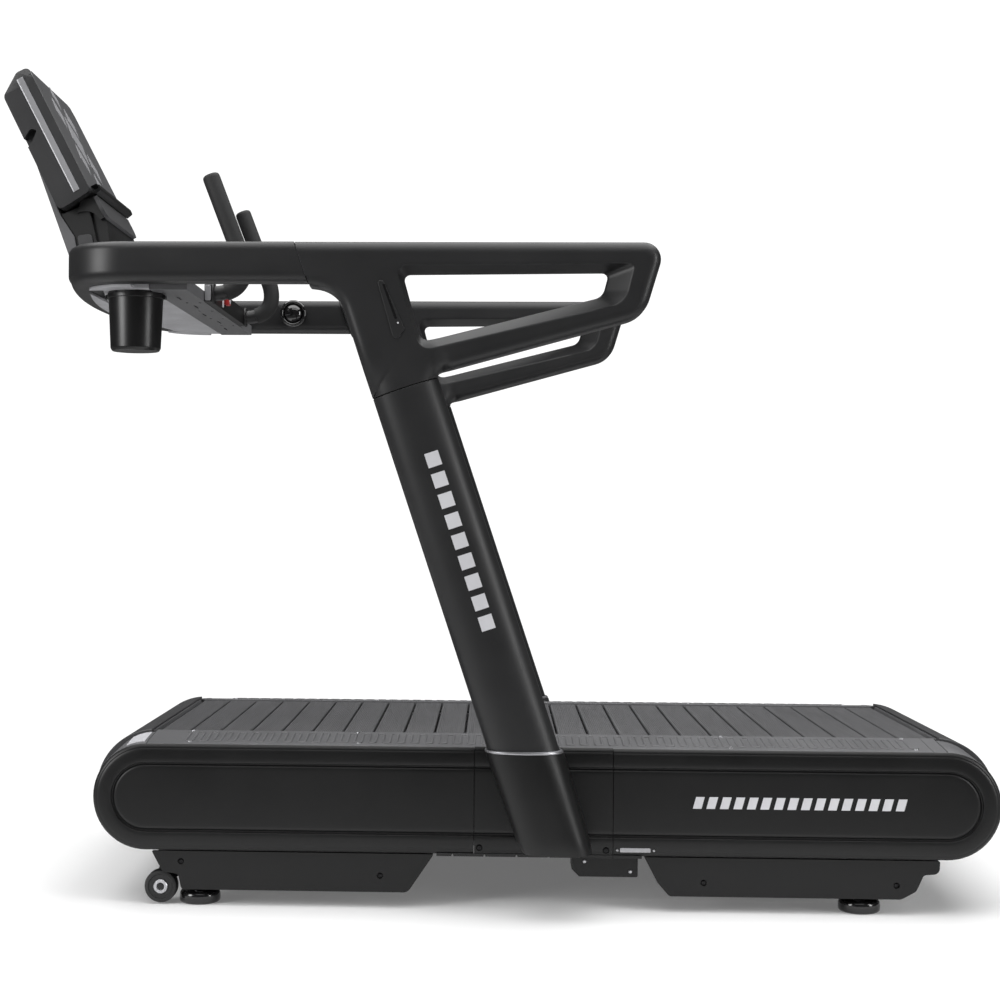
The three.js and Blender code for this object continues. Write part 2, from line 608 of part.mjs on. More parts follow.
function consoleHousing() {
  const profile = roundedShape([[...FACE_TOP, 0], [-952, 1621, 0], [...BACK_TOP, 14], [...BACK_BOTTOM, 8],
    [...FACE_BOTTOM, 0]]);
  const body = extrudeY(profile, [-CONSOLE_HALF_Y, CONSOLE_HALF_Y], 5);
  const outline = faceSlab(CONSOLE_HALF_Y, 0, FACE_LENGTH + 2, -120, 30, 34);
  const lower = box([-1000, -700], [-200, 200], [1300, 1460]);
  const clipped = join(common(body, outline), common(body, lower));
  const recess = faceSlab(CONSOLE_HALF_Y - 5, 5, FACE_LENGTH - 5, -SCREEN_THICK - GAP, 30, 32);
  return cut(clipped, recess);
}

function consoleScreen() {
  return faceSlab(CONSOLE_HALF_Y - 6, 6, FACE_LENGTH - 6, -SCREEN_THICK, 0, 32);
}

// Tablet ledge below the screen with the chin plate that hangs under it.
function tabletLedge() {
  const points = [
    offFace(FACE_BOTTOM, -6, -1), offFace(FACE_BOTTOM, 14, 2), offFace(FACE_BOTTOM, 16, 12),
    offFace(FACE_BOTTOM, 20, 11), offFace(FACE_BOTTOM, 19, -6), offFace(FACE_BOTTOM, 4, -12),
    offFace(FACE_BOTTOM, 4, -58), offFace(FACE_BOTTOM, -4, -58)];
  return extrudeY(new THREE.Shape(points.map(([x, z]) => new THREE.Vector2(x, z))), [-158, 158]);
}

function consoleMast() {
  const off = 0.5;
  const outline = roundedShape([[-933 - off, 1485, 0], [-850, 1258, 20], [-843, HANDRAIL_Z[1] + GAP, 0],
    [-792, HANDRAIL_Z[1] + GAP, 0], [-822, 1374, 0], [BACK_BOTTOM[0] - off, BACK_BOTTOM[1] - off, 0]]);
  const housing = roundedShape([
    [...FACE_TOP, 0], [-952, 1621, 0], [BACK_TOP[0] - off, BACK_TOP[1], 0],
    [BACK_BOTTOM[0] - off, BACK_BOTTOM[1] - off, 0], [FACE_BOTTOM[0] + off, FACE_BOTTOM[1] - off, 0]]);
  return cut(extrudeY(outline, [-150, 150], 2), extrudeY(housing, [-180, 180]));
}

// ---- assembly ------------------------------------------------------------------------------
node("base_frame", "frame_paint", baseFrame());
node("belt_top_run", "slat_rubber", beltRun(1));
node("belt_bottom_run", "slat_rubber", beltRun(-1));
node("belt_front_wrap", "slat_rubber", beltWrap(FRONT_AXLE_X, -1));
node("belt_rear_wrap", "slat_rubber", beltWrap(REAR_AXLE_X, 1));
node("front_drum", "aluminium", drum(FRONT_AXLE_X));
node("rear_drum", "aluminium", drum(REAR_AXLE_X));
node("drum_pulley", "aluminium", drumPulley());
node("drive_motor", "aluminium", motorCase());
node("motor_rotor", "steel", motorRotor());
node("drive_belt", "rubber", driveBelt());
node("motor_controller", "cover_plastic", box([-250, -60], [-110, 110], [150 + GAP, 225]));
node("power_inlet", "cover_plastic", powerInlet());
node("front_end_cover", "cover_plastic", endCover(FRONT_AXLE_X, -1));
node("rear_end_cover", "cover_plastic", endCover(REAR_AXLE_X, 1));

for (const [name, side] of Object.entries(SIDES)) {
  node(`slat_rail_${name}`, "steel", slatRail(side));
  node(`front_bearing_${name}`, "steel", bearingBlock(FRONT_AXLE_X, side, 1));
  node(`rear_bearing_${name}`, "steel", bearingBlock(REAR_AXLE_X, side, -1));
  const [seamA, seamB] = COVER_SEAMS_X;
  node(`side_cover_front_${name}`, "cover_plastic", sideCover(side, [-800, seamA - GAP / 2]));
  node(`side_cover_middle_${name}`, "cover_plastic", sideCover(side, [seamA + GAP / 2, seamB - GAP / 2]));
  node(`side_cover_rear_${name}`, "cover_plastic", sideCover(side, [seamB + GAP / 2, 1000]));
  node(`foot_platform_${name}`, "platform_plastic", footPlatform(side));
  node(`foot_cover_front_${name}`, "cover_plastic", footCover("front", side));
  node(`foot_cover_rear_${name}`, "cover_plastic", footCover("rear", side));
  node(`levelling_foot_front_${name}`, "rubber", levellingFoot(LEG_X[0], side));
  node(`levelling_foot_rear_${name}`, "rubber", levellingFoot(LEG_X[1], side));
  node(`transport_wheel_${name}`, "rubber", transportWheel(side));
  node(`upright_${name}`, "frame_paint", upright(side));
  node(`upright_boot_${name}`, "cover_plastic", boot(side));
  node(`boot_ring_${name}`, "chrome", bootRing(side));
  node(`handrail_loop_${name}`, "frame_paint", handrailLoop(side));
  node(`hand_grip_${name}`, "grip_foam", handGrip(side));
  node(`control_dial_${name}`, "gloss_black", dial(side));
}

node("front_bar", "frame_paint", frontBar());
node("console_tray", "tray_plastic", consoleTray());
node("cup_holder", "gloss_black", cupHolder());
node("safety_key", "red_plastic", safetyKey());
node("console_mast", "cover_plastic", consoleMast());
node("console_housing", "cover_plastic", consoleHousing());
node("console_screen", "screen", consoleScreen());
node("tablet_ledge", "cover_plastic", tabletLedge());

export default treadmill;
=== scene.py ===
"""Looks of the slat-belt treadmill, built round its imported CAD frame.

Pieces are drawn in millimetres in the CAD's own frame and become metres when their mesh is made.
+X runs from the console to the rear of the deck, -Y is the runner's left-hand side and +Z is up.
"""
import json
import math
import bmesh
import bpy
from mathutils import Matrix, Vector


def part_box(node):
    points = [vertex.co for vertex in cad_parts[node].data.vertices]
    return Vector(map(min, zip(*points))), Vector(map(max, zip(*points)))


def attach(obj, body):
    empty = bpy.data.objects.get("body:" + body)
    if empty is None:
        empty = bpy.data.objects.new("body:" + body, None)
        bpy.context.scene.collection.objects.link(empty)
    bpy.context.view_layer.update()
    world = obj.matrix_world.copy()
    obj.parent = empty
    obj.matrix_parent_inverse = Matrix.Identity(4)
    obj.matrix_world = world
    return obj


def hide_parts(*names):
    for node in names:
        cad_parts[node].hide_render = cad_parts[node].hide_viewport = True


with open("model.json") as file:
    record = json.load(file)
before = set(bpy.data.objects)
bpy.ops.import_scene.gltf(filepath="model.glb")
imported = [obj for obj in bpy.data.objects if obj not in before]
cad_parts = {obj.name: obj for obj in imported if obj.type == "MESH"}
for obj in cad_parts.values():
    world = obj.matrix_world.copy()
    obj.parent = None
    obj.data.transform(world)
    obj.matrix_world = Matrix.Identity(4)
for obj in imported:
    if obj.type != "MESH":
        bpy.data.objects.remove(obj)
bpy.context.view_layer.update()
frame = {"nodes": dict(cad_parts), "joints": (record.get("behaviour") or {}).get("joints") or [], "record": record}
MM = 0.001
TAU = 2 * math.pi
SIDES = {"left": -1, "right": 1}
JOINTS = {joint["name"]: joint for joint in frame["joints"]}


def span(node):
    """Lowest and highest corner of a CAD node in millimetres."""
    low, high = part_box(node)
    return low / MM, high / MM


def pivot(joint):
    """A hinge's centre in millimetres."""
    return Vector(JOINTS[joint]["pos_m"]) / MM


# ---- sizes taken from the frame -------------------------------------------------------------
FRONT_X, _, AXLE_Z = pivot("front_drum_turn")
REAR_X = pivot("rear_drum_turn").x
COVER_LOW, COVER_HIGH = span("side_cover_front_right")
COVER_R = COVER_HIGH.z - AXLE_Z
COVER_Y = (COVER_LOW.y, COVER_HIGH.y)
BELT_LOW, BELT_HIGH = span("belt_top_run")
TREAD_R = BELT_HIGH.z - AXLE_Z
COG_R = BELT_LOW.z - AXLE_Z
SLAT_HALF = BELT_HIGH.y
SLAT_PITCH = 60
SLATS = round((REAR_X - FRONT_X) / SLAT_PITCH)
PLATFORM_LOW, PLATFORM_HIGH = span("foot_platform_right")
RAIL_LOW, RAIL_HIGH = span("handrail_loop_right")
BAR_LOW, BAR_HIGH = span("front_bar")

# The uprights lean forwards by LEAN; SEAM is where their centre line meets the handrail loops (X, Z).
LEAN = math.radians(18.5)
SEAM = Vector((-148.5, 973.5))
UP_POST = Vector((-math.sin(LEAN), math.cos(LEAN)))
ACROSS_POST = Vector((math.cos(LEAN), math.sin(LEAN)))
OVAL_POWER = 2.25


# ---- outlines -------------------------------------------------------------------------------
def rounded(corners, steps=6):
    """Outline through corners given as (a, b, fillet radius)."""
    outline = []
    for i, corner in enumerate(corners):
        here = Vector(corner[:2])
        radius = corner[2] if len(corner) > 2 else 0
        if not radius:
            outline.append(here)
            continue
        back = (Vector(corners[i - 1][:2]) - here).normalized()
        ahead = (Vector(corners[(i + 1) % len(corners)][:2]) - here).normalized()
        half = back.angle(ahead) / 2
        start = here + back * radius / math.tan(half)
        centre = here + (back + ahead).normalized() * radius / math.sin(half)
        sense = math.copysign(1, ahead.x * back.y - ahead.y * back.x)
        for step in range(steps + 1):
            turn = Matrix.Rotation(sense * (math.pi - 2 * half) * step / steps, 2)
            outline.append(centre + turn @ (start - centre))
    return outline


def rectangle(low_a, high_a, low_b, high_b, *radii):
    """Rounded rectangle, its radii given from the lowest corner anticlockwise."""
    corners = ((low_a, low_b), (high_a, low_b), (high_a, high_b), (low_a, high_b))
    return [(a, b, r) for (a, b), r in zip(corners, radii)]


def arc(x, z, radius, start, end, steps=24):
    """Points of an arc round (x, z), between two angles in degrees."""
    angles = [math.radians(start + (end - start) * i / steps) for i in range(steps + 1)]
    return [Vector((x + radius * math.cos(a), z + radius * math.sin(a))) for a in angles]


def racetrack(radius):
    """Stadium outline round both drum axles."""
    return arc(FRONT_X, AXLE_Z, radius, 90, 270, 32) + arc(REAR_X, AXLE_Z, radius, -90, 90, 32)


def circle(x, z, radius, steps=24):
    """Points of a whole circle."""
    return arc(x, z, radius, 0, 360, steps)[:-1]


def resampled(line, count):
    """The same open line through count evenly spaced points."""
    lengths = [0.0]
    for a, b in zip(line, line[1:]):
        lengths.append(lengths[-1] + (b - a).length)
    points, k = [], 0
    for i in range(count):
        goal = lengths[-1] * i / (count - 1)
        while k < len(line) - 2 and lengths[k + 1] < goal:
            k += 1
        share = (goal - lengths[k]) / max(lengths[k + 1] - lengths[k], 1e-9)
        points.append(line[k].lerp(line[k + 1], share))
    return points


def inset(outline, distance):
    """A closed clockwise outline moved inwards by a distance."""
    moved = []
    for i, here in enumerate(outline):
        ahead = outline[(i + 1) % len(outline)] - here
        back = here - outline[i - 1]
        a, b = Vector((ahead.y, -ahead.x)).normalized(), Vector((back.y, -back.x)).normalized()
        middle = (a + b).normalized()
        moved.append(here + middle * distance / max(middle.dot(a), 0.5))
    return moved


# ---- meshes ---------------------------------------------------------------------------------
def raw(name, points, faces):
    """A mesh object from points in millimetres, with doubled points merged and faces turned outwards."""
    mesh = bpy.data.meshes.new(name)
    mesh.from_pydata([Vector(p) * MM for p in points], [], faces)
    work = bmesh.new()
    work.from_mesh(mesh)
    bmesh.ops.remove_doubles(work, verts=work.verts, dist=1e-6)
    bmesh.ops.recalc_face_normals(work, faces=work.faces)
    work.to_mesh(mesh)
    work.free()
    made = bpy.data.objects.new(name, mesh)
    bpy.context.scene.collection.objects.link(made)
    return made


def baked(piece):
    """Replaces a piece's mesh by what its modifiers make of it."""
    seen = bpy.context.evaluated_depsgraph_get()
    mesh = bpy.data.meshes.new_from_object(piece.evaluated_get(seen))
    piece.modifiers.clear()
    piece.data = mesh
    return piece


def carved(piece, *tools):
    """Cuts the tools out of a piece and removes them."""
    for tool in tools:
        step = piece.modifiers.new("carve", "BOOLEAN")
        step.operation, step.object, step.solver = "DIFFERENCE", tool, "EXACT"
    baked(piece)
    for tool in tools:
        bpy.data.objects.remove(tool)
    return piece


def trimmed(piece, point, normal):
    """Cuts away what lies on the normal's side of a plane and closes the cut."""
    work = bmesh.new()
    work.from_mesh(piece.data)
    cut = bmesh.ops.bisect_plane(
        work, geom=work.verts[:] + work.edges[:] + work.faces[:],
        plane_co=Vector(point) * MM, plane_no=Vector(normal), clear_outer=True)
    edges = [e for e in cut["geom_cut"] if isinstance(e, bmesh.types.BMEdge)]
    bmesh.ops.edgeloop_fill(work, edges=edges)
    bmesh.ops.recalc_face_normals(work, faces=work.faces)
    work.to_mesh(piece.data)
    work.free()
    return piece


def dressed(piece, look, body="frame", stands_for=(), sharp=35, bevel=0.0, steps=2):
    """Gives a piece its edges, finish and CAD body."""
    mesh = piece.data
    mesh.polygons.foreach_set("use_smooth", [True] * len(mesh.polygons))
    mesh.set_sharp_from_angle(angle=math.radians(sharp))
    if bevel:
        edge = piece.modifiers.new("edges", "BEVEL")
        edge.width, edge.segments, edge.limit_method = bevel * MM, steps, "ANGLE"
        edge.angle_limit, edge.use_clamp_overlap = math.radians(sharp), True
        edge.miter_outer = "MITER_ARC"
        baked(piece)
        piece.data.polygons.foreach_set("use_smooth", [True] * len(piece.data.polygons))
        flat = piece.modifiers.new("normals", "WEIGHTED_NORMAL")
        flat.keep_sharp, flat.weight = True, 80
    piece.data.materials.clear()
    piece.data.materials.append(LOOKS[look][0])
    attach(piece, body)
    if stands_for:
        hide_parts(*stands_for)
    return piece


def grid(rows, closed_rows=False, closed_across=False, caps=False):
    """Points and faces of a sheet through equal rows of points; caps close its two end rows."""
    count = len(rows[0])
    points = [point for row in rows for point in row]
    faces = []
    for r in range(len(rows) - (not closed_rows)):
        here, following = r * count, (r + 1) % len(rows) * count
        for c in range(count - (not closed_across)):
            ahead = (c + 1) % count
            faces.append((here + c, here + ahead, following + ahead, following + c))
    if caps:
        faces += [tuple(range(count)), tuple(range(len(points) - count, len(points)))]
    return points, faces


PLACES = {
    "x": lambda a, b, level: (level, a, b),
    "y": lambda a, b, level: (a, level, b),
    "z": lambda a, b, level: (a, b, level),
}


def lofted(name, rows):
    """A closed solid through equal closed rows of points, capped at both ends."""
    return raw(name, *grid(rows, closed_across=True, caps=True))


def prism(name, outline, axis, low, high):
    """A closed outline swept along one axis between two levels."""
    place = PLACES[axis]
    rows = [[place(a, b, level) for a, b in outline] for level in (low, high)]
    return lofted(name, rows)


def block(name, low, high):
    """A box between its lowest and highest corner."""
    corners = [(low[0], low[1]), (high[0], low[1]), (high[0], high[1]), (low[0], high[1])]
    return prism(name, corners, "z", low[2], high[2])


def mirrored(side, near, far):
    """Two distances from the centre plane as a rising pair of Y on one side."""
    return sorted((side * near, side * far))


def side_block(name, side, x, y, z):
    """A box on one side, between two X, two distances from the centre plane and two Z."""
    low, high = mirrored(side, *y)
    return block(name, (x[0], low, z[0]), (x[1], high, z[1]))


def lathe(name, profile, axis, centre, turns=48, ring=False):
    """A profile of (radius, level) turned round an axis through centre = (a, b)."""
    place = PLACES[axis]
    rows = []
    for i in range(turns):
        c, s = math.cos(TAU * i / turns), math.sin(TAU * i / turns)
        rows.append([place(centre[0] + r * c, centre[1] + r * s, level) for r, level in profile])
    return raw(name, *grid(rows, closed_rows=True, closed_across=ring))


def tube(name, path, radii, sides=28):
    """A round tube along a path in a plane of constant Y."""
    turns = [TAU * k / sides for k in range(sides)]
    rows = []
    for i, (point, radius) in enumerate(zip(path, radii)):
        along = (path[min(i + 1, len(path) - 1)] - path[max(i - 1, 0)]).normalized()
        across = Vector((-along.z, 0, along.x))
        rows.append([point + radius * (math.cos(a) * across + Vector((0, math.sin(a), 0))) for a in turns])
    return lofted(name, rows)


# ---- materials ------------------------------------------------------------------------------
def added(nodes, kind, **values):
    """A new shader node with some of its inputs set."""
    node = nodes.new(kind)
    for name, value in values.items():
        node.inputs[name.replace("_", " ")].default_value = value
    return node


def surface(name, color, rough, tone=0.08, mottle=9.0, grain=900.0, bump=0.12, stretch=(1, 1, 1),
            metallic=0.0, coat=0.0, specular=0.5):
    """A finish with slow colour and gloss variation and a fine grain, stretched where brushed or ribbed."""
    material = bpy.data.materials.new(name)
    material.use_nodes = True
    nodes, links = material.node_tree.nodes, material.node_tree.links
    shader = nodes["Principled BSDF"]
    shader.inputs["Metallic"].default_value = metallic
    shader.inputs["Coat Weight"].default_value = coat
    shader.inputs["Coat Roughness"].default_value = 0.08
    shader.inputs["Specular IOR Level"].default_value = specular
    coords = added(nodes, "ShaderNodeTexCoord")
    mapping = added(nodes, "ShaderNodeMapping", Scale=stretch)
    slow = added(nodes, "ShaderNodeTexNoise", Scale=mottle, Detail=4)
    fine = added(nodes, "ShaderNodeTexNoise", Scale=grain, Detail=2)
    links.new(coords.outputs["Object"], mapping.inputs["Vector"])
    links.new(mapping.outputs["Vector"], slow.inputs["Vector"])
    links.new(mapping.outputs["Vector"], fine.inputs["Vector"])
    ramp = added(nodes, "ShaderNodeValToRGB")
    for element, gain, place in zip(ramp.color_ramp.elements, (1 - tone, 1 + tone), (0.3, 0.7)):
        element.position = place
        element.color = [*(min(1.0, c * gain) for c in color), 1]
    links.new(slow.outputs["Fac"], ramp.inputs["Fac"])
    links.new(ramp.outputs["Color"], shader.inputs["Base Color"])
    gloss = added(nodes, "ShaderNodeMapRange", To_Min=max(rough - 0.07, 0.02), To_Max=min(rough + 0.07, 1))
    links.new(slow.outputs["Fac"], gloss.inputs["Value"])
    links.new(gloss.outputs["Result"], shader.inputs["Roughness"])
    relief = added(nodes, "ShaderNodeBump", Strength=bump, Distance=0.0003)
    links.new(fine.outputs["Fac"], relief.inputs["Height"])
    links.new(relief.outputs["Normal"], shader.inputs["Normal"])
    return material


def grey(level):
    """A grey that leans very slightly to blue."""
    return (level, level, level * 1.04)


LOOKS = {
    "paint": (surface("satin_paint", grey(0.017), 0.42, bump=0.10, specular=0.42), "frame_paint"),
    "cover": (surface("moulded_cover", grey(0.0045), 0.40, bump=0.16, specular=0.38), "cover_plastic"),
    "cover_mid": (surface("moulded_trim", grey(0.055), 0.42, bump=0.16), "cover_plastic"),
    "cover_light": (surface("moulded_light_trim", grey(0.13), 0.38, bump=0.14), "cover_plastic"),
    "platform": (surface("moulded_platform", grey(0.118), 0.50, bump=0.30, grain=600), "platform_plastic"),
    "slat": (surface("ribbed_rubber", grey(0.092), 0.62, tone=0.16, mottle=30, grain=500, bump=0.35,
                     stretch=(6, 0.35, 1)), "slat_rubber"),
    "belt": (surface("cog_belt_rubber", grey(0.012), 0.65, bump=0.4, stretch=(1, 6, 1)), "belt_rubber"),
    "slat_edge": (surface("slat_belt_rubber", grey(0.016), 0.6, bump=0.4), "slat_rubber"),
    "foot": (surface("foot_rubber", grey(0.008), 0.16, bump=0.05, coat=0.3), "foot_rubber"),
    "tyre": (surface("wheel_rubber", grey(0.012), 0.55, bump=0.3), "wheel_rubber"),
    "chrome": (surface("polished_chrome", grey(0.80), 0.10, tone=0.03, bump=0.02, metallic=1), "chrome"),
    "shell": (surface("console_shell", grey(0.028), 0.36, bump=0.12), "cover_plastic"),
    "trim": (surface("satin_trim", grey(0.30), 0.36, tone=0.06, grain=120, bump=0.02, metallic=0.3),
             "aluminium"),
    "edge": (surface("bright_edge", grey(0.75), 0.30, tone=0.04, grain=120, bump=0.02, metallic=0.3),
             "aluminium"),
    "gloss_dark": (surface("dark_web", grey(0.006), 0.5, bump=0.1), "cover_plastic"),
    "cup": (surface("moulded_cup", grey(0.006), 0.33, bump=0.06), "gloss_black"),
    "ring": (surface("satin_chrome", grey(0.45), 0.42, tone=0.03, bump=0.05, metallic=1), "chrome"),
    "silver": (surface("brushed_silver", grey(0.42), 0.28, tone=0.06, stretch=(0.4, 1, 0.05), bump=0.2,
                       metallic=1), "aluminium"),
    "aluminium": (surface("turned_aluminium", grey(0.55), 0.34, tone=0.06, stretch=(1, 0.1, 1), bump=0.2,
                          metallic=1), "aluminium"),
    "steel": (surface("brushed_steel", grey(0.42), 0.36, tone=0.10, stretch=(0.06, 1, 1), bump=0.3,
                      metallic=1), "steel"),
    "zinc": (surface("zinc_screw", grey(0.50), 0.30, tone=0.08, bump=0.1, metallic=1), "steel"),
    "black_screw": (surface("blackened_screw", grey(0.03), 0.35, bump=0.1, metallic=1), "steel"),
    "tray": (surface("tray_shell", grey(0.50), 0.46, tone=0.10, mottle=14, bump=0.1), "tray_plastic"),
    "tray_dark": (surface("tray_panel", grey(0.13), 0.46, tone=0.10, mottle=14, bump=0.2), "tray_plastic"),
    "gloss": (surface("gloss_black", grey(0.006), 0.09, bump=0.02, coat=1.0), "gloss_black"),
    "foam": (surface("grip_foam", grey(0.011), 0.68, bump=0.5, grain=420), "grip_foam"),
    "screen": (surface("screen_overlay", grey(0.10), 0.30, tone=0.05, grain=120, bump=0.02, coat=0.4),
               "screen"),
    "diamond": (surface("overlay_diamond", grey(0.30), 0.34, tone=0.05, grain=120, bump=0.02), "screen"),
    "red": (surface("red_key", (0.36, 0.02, 0.02), 0.3, tone=0.1, bump=0.05), "red_plastic"),
    "label": (surface("light_label", grey(0.62), 0.4, tone=0.06, grain=120, bump=0.02), "cover_plastic"),
}

CAD_LOOKS = {
    "frame_paint": "paint", "slat_rubber": "slat_edge", "aluminium": "aluminium", "steel": "steel",
    "belt_rubber": "belt", "foot_rubber": "foot", "wheel_rubber": "tyre", "cover_plastic": "cover",
    "platform_plastic": "platform", "chrome": "chrome", "tray_plastic": "tray", "gloss_black": "gloss",
    "grip_foam": "foam", "screen": "screen", "red_plastic": "red",
}


def dress_cad_nodes():
    """Gives every CAD node the finish of its material slot, whether it shows or is replaced later."""
    for part in frame["record"]["subparts"]:
        data = frame["nodes"][part["node"]].data
        data.materials.clear()
        data.materials.append(LOOKS[CAD_LOOKS[part["material_slot"]]][0])
        data.polygons.foreach_set("use_smooth", [True] * len(data.polygons))
        data.set_sharp_from_angle(angle=math.radians(32))


def screw(name, x, y, z, axis, radius, out=1, look="zinc"):
    """A button head with a hexagon socket; out is the direction it faces along its axis."""
    head = [(0, 1.2), (radius * 0.45, 1.2), (radius * 0.5, 2.2), (radius * 0.85, 1.9), (radius, 0.9),
            (radius, -1.5), (0, -1.5)]
    centre = {"x": (y, z), "y": (x, z), "z": (x, y)}[axis]
    level = {"x": x, "y": y, "z": z}[axis]
    turned = [(r, level + out * h) for r, h in head]
    return dressed(lathe(name, turned, axis, centre, turns=18), look, sharp=40)


# ---- belt -----------------------------------------------------------------------------------
SLAT_TOP = 10.0
TURN_SLATS = 5
COG_BELT_Y = (215, 245)


def slat_section(flange):
    """Section of a slat in X and Z, underside at z = 0: grooved tread, rounded edges, flanged underside."""
    half, ribs = 27.7, 13
    wide = half + flange
    outline = [(-wide, 1.2), (-wide + 1.2, 0), (wide - 1.2, 0), (wide, 1.2), (wide, 2.6), (half, 3.2),
               (half, 8.2), (half - 1.6, SLAT_TOP)]
    pitch = (2 * half - 5) / ribs
    for i in range(ribs):
        right = half - 2.5 - pitch * i
        groove = ((0.5, 0), (0.9, 0.7), (1.5, 0.7), (1.9, 0))
        outline += [(right - across, SLAT_TOP - deep) for across, deep in groove]
    return outline + [(-half + 1.6, SLAT_TOP), (-half, 8.2), (-half, 3.2), (-wide, 2.6)]


def slat(name, centre_x, angle, body, radius, nodes=(), flange=0.0):
    """One slat, turned by an angle from straight up round the axle at centre_x, or laid flat."""
    c, s = math.cos(angle), math.sin(angle)
    rows = []
    for y in (-SLAT_HALF, -SLAT_HALF + 1.2, SLAT_HALF - 1.2, SLAT_HALF):
        pinch, row = 1.0 if abs(y) == SLAT_HALF else 0.0, []
        for a, b in slat_section(flange):
            across, out = a * (1 - pinch * 0.03), radius + b - pinch * b / SLAT_TOP
            row.append((centre_x + c * across + s * out, y, AXLE_Z - s * across + c * out))
        rows.append(row)
    return dressed(lofted(name, rows), "slat", body=body, stands_for=nodes, sharp=28)


def make_belt():
    """The slats of both runs and both half turns, each with its two cog belts."""
    under = TREAD_R - SLAT_TOP
    for i in range(SLATS):
        x = FRONT_X + SLAT_PITCH * (i + 0.5)
        slat(f"slat_top_{i + 1:02d}", x, 0, "belt_top", under, ["belt_top_run"])
        slat(f"slat_return_{i + 1:02d}", x, math.pi, "belt_bottom", under, ["belt_bottom_run"], flange=1.7)
    for end, axle_x, way in (("front", FRONT_X, -1), ("rear", REAR_X, 1)):
        for i in range(TURN_SLATS):
            slat(f"slat_{end}_turn_{i + 1}", axle_x, way * math.pi * (i + 0.5) / TURN_SLATS, f"{end}_roller",
                 under, [f"belt_{end}_wrap"])
    for name, side in SIDES.items():
        for run, way in (("top", 1), ("bottom", -1)):
            levels = sorted(AXLE_Z + way * r for r in (COG_R, under - 0.2))
            strip = side_block(f"cog_belt_{run}_{name}", side, (FRONT_X + 4, REAR_X - 4), COG_BELT_Y, levels)
            dressed(strip, "belt", body=f"belt_{run}", bevel=1)
        for end, axle_x, start in (("front", FRONT_X, 92.6), ("rear", REAR_X, -87.4)):
            ring = arc(axle_x, AXLE_Z, under - 0.2, start, start + 174.8, 36)
            ring += arc(axle_x, AXLE_Z, COG_R, start + 174.8, start, 36)
            turn = prism(f"cog_belt_{end}_{name}", ring, "y", *mirrored(side, *COG_BELT_Y))
            dressed(turn, "belt", body=f"{end}_roller", sharp=40)


# ---- housing --------------------------------------------------------------------------------
# Section of a side cover: distance in from the racetrack outline, and distance from the centre plane.
COVER_SECTION = [
    (6, 281), (6, 395.6), (1.0, 395.9), (0.1, 396.4), (0, 397.0), (0.5, 397.7), (5.2, 401.0), (6.6, 401.3),
    (7.6, 401.2), (8.4, 401.8), (10.6, 402.6), (14, 403.2), (20, 403.7), (26, 404.0), (32.6, 404),
    (33.8, 403.7), (34.4, 402.8), (34.9, 399.4), (36, 398.5), (38.0, 398.5), (38.8, 399.1), (39.4, 400.2),
    (40.6, 401.4), (42.4, 402.2), (46, 402.5), (52, 402.6), (52, 396.4), (9, 396.4), (9, 281)]
# How many of those points are on the outside of the cover; the rest are inside.
OUTER_POINTS = 26
COVER_CUTS = {"front": (-1000, -18), "middle": (-18, 242), "rear": (242, 1100)}
HOLES = {"front": [], "middle": [(-8, 119), (229, 117)], "rear": []}
MIDDLE_PROUD = 1.4
COVER_GAP = 0.6


def cover_shell(name, side, proud):
    """The whole racetrack cover of one side as one closed shell; its rim can stand proud of the others."""
    rows = []
    for depth, y in COVER_SECTION:
        radius = COVER_R - depth + (proud if depth < 30 else 0)
        rows.append([(p.x, side * y, p.y) for p in racetrack(radius)])
    points, faces = grid(rows[:OUTER_POINTS], closed_across=True)
    inner_points, inner_faces = grid(rows[OUTER_POINTS:], closed_across=True)
    shift, count = len(points), len(rows[0])
    faces += [tuple(v + shift for v in face) for face in inner_faces]
    faces += [tuple(range(shift - count, shift)), tuple(range(shift, shift + count))]
    last = shift + len(inner_points) - count
    faces += [(last + c, last + (c + 1) % count, (c + 1) % count, c) for c in range(count)]
    return raw(name, points + inner_points, faces)


def make_side_covers():
    """Three lengths of cover on each side, with screws in the middle one."""
    for name, side in SIDES.items():
        for part, (start, end) in COVER_CUTS.items():
            proud = MIDDLE_PROUD if part == "middle" else 0
            cover = cover_shell(f"side_cover_{part}_{name}_shell", side, proud)
            if part != "front":
                trimmed(cover, (start + COVER_GAP, 0, 0), (-1, 0, 0))
            if part != "rear":
                trimmed(cover, (end - COVER_GAP, 0, 0), (1, 0, 0))
            tools = [side_block("top", side, (FRONT_X - 1, REAR_X + 1), (270, 395.4), (285, 320)),
                     side_block("base", side, (-650, 870), (270, 388), (90, 125))]
            tools += [prism("hole", circle(x, z, 6.5), "y", *mirrored(side, 398.5, 410))
                      for x, z in HOLES[part]]
            if part == "middle":
                tools.append(side_block("port", side, (76, 144), (380, 420), (172, 240)))
            carved(cover, *tools)
            dressed(cover, "cover", stands_for=[f"side_cover_{part}_{name}"], sharp=50)
            for k, (x, z) in enumerate(HOLES[part]):
                screw(f"cover_screw_{part}_{name}_{k + 1}", x, side * 399, z, "y", 5, side, "black_screw")


def make_return_slat_shade():
    """Thin dark strip under each side cover between the foot covers, painted shade standing in for the return
    slats in shadow there, notched at every slat where light shows between them.
    """
    for name, side in SIDES.items():
        # Painted shade: a dark strip where the return slats show in shadow below the cover.
        band = side_block(f"return_slat_shade_{name}", side, (-88, 296), (397, 400.5), (101.6, 107.5))
        notches = []
        for x in range(-58, 290, SLAT_PITCH):
            outline = [(x - 2.6, 100), (x + 2.6, 100), (x + 0.8, 106), (x - 0.8, 106)]
            notches.append(prism("notch", outline, "y", *mirrored(side, 390, 405)))
        carved(band, *notches)
        dressed(band, "belt", bevel=0.4)


# Angles round the front drum between which the platforms' end pieces run, in degrees.
END_TOP, END_BOTTOM = 90.3, 262


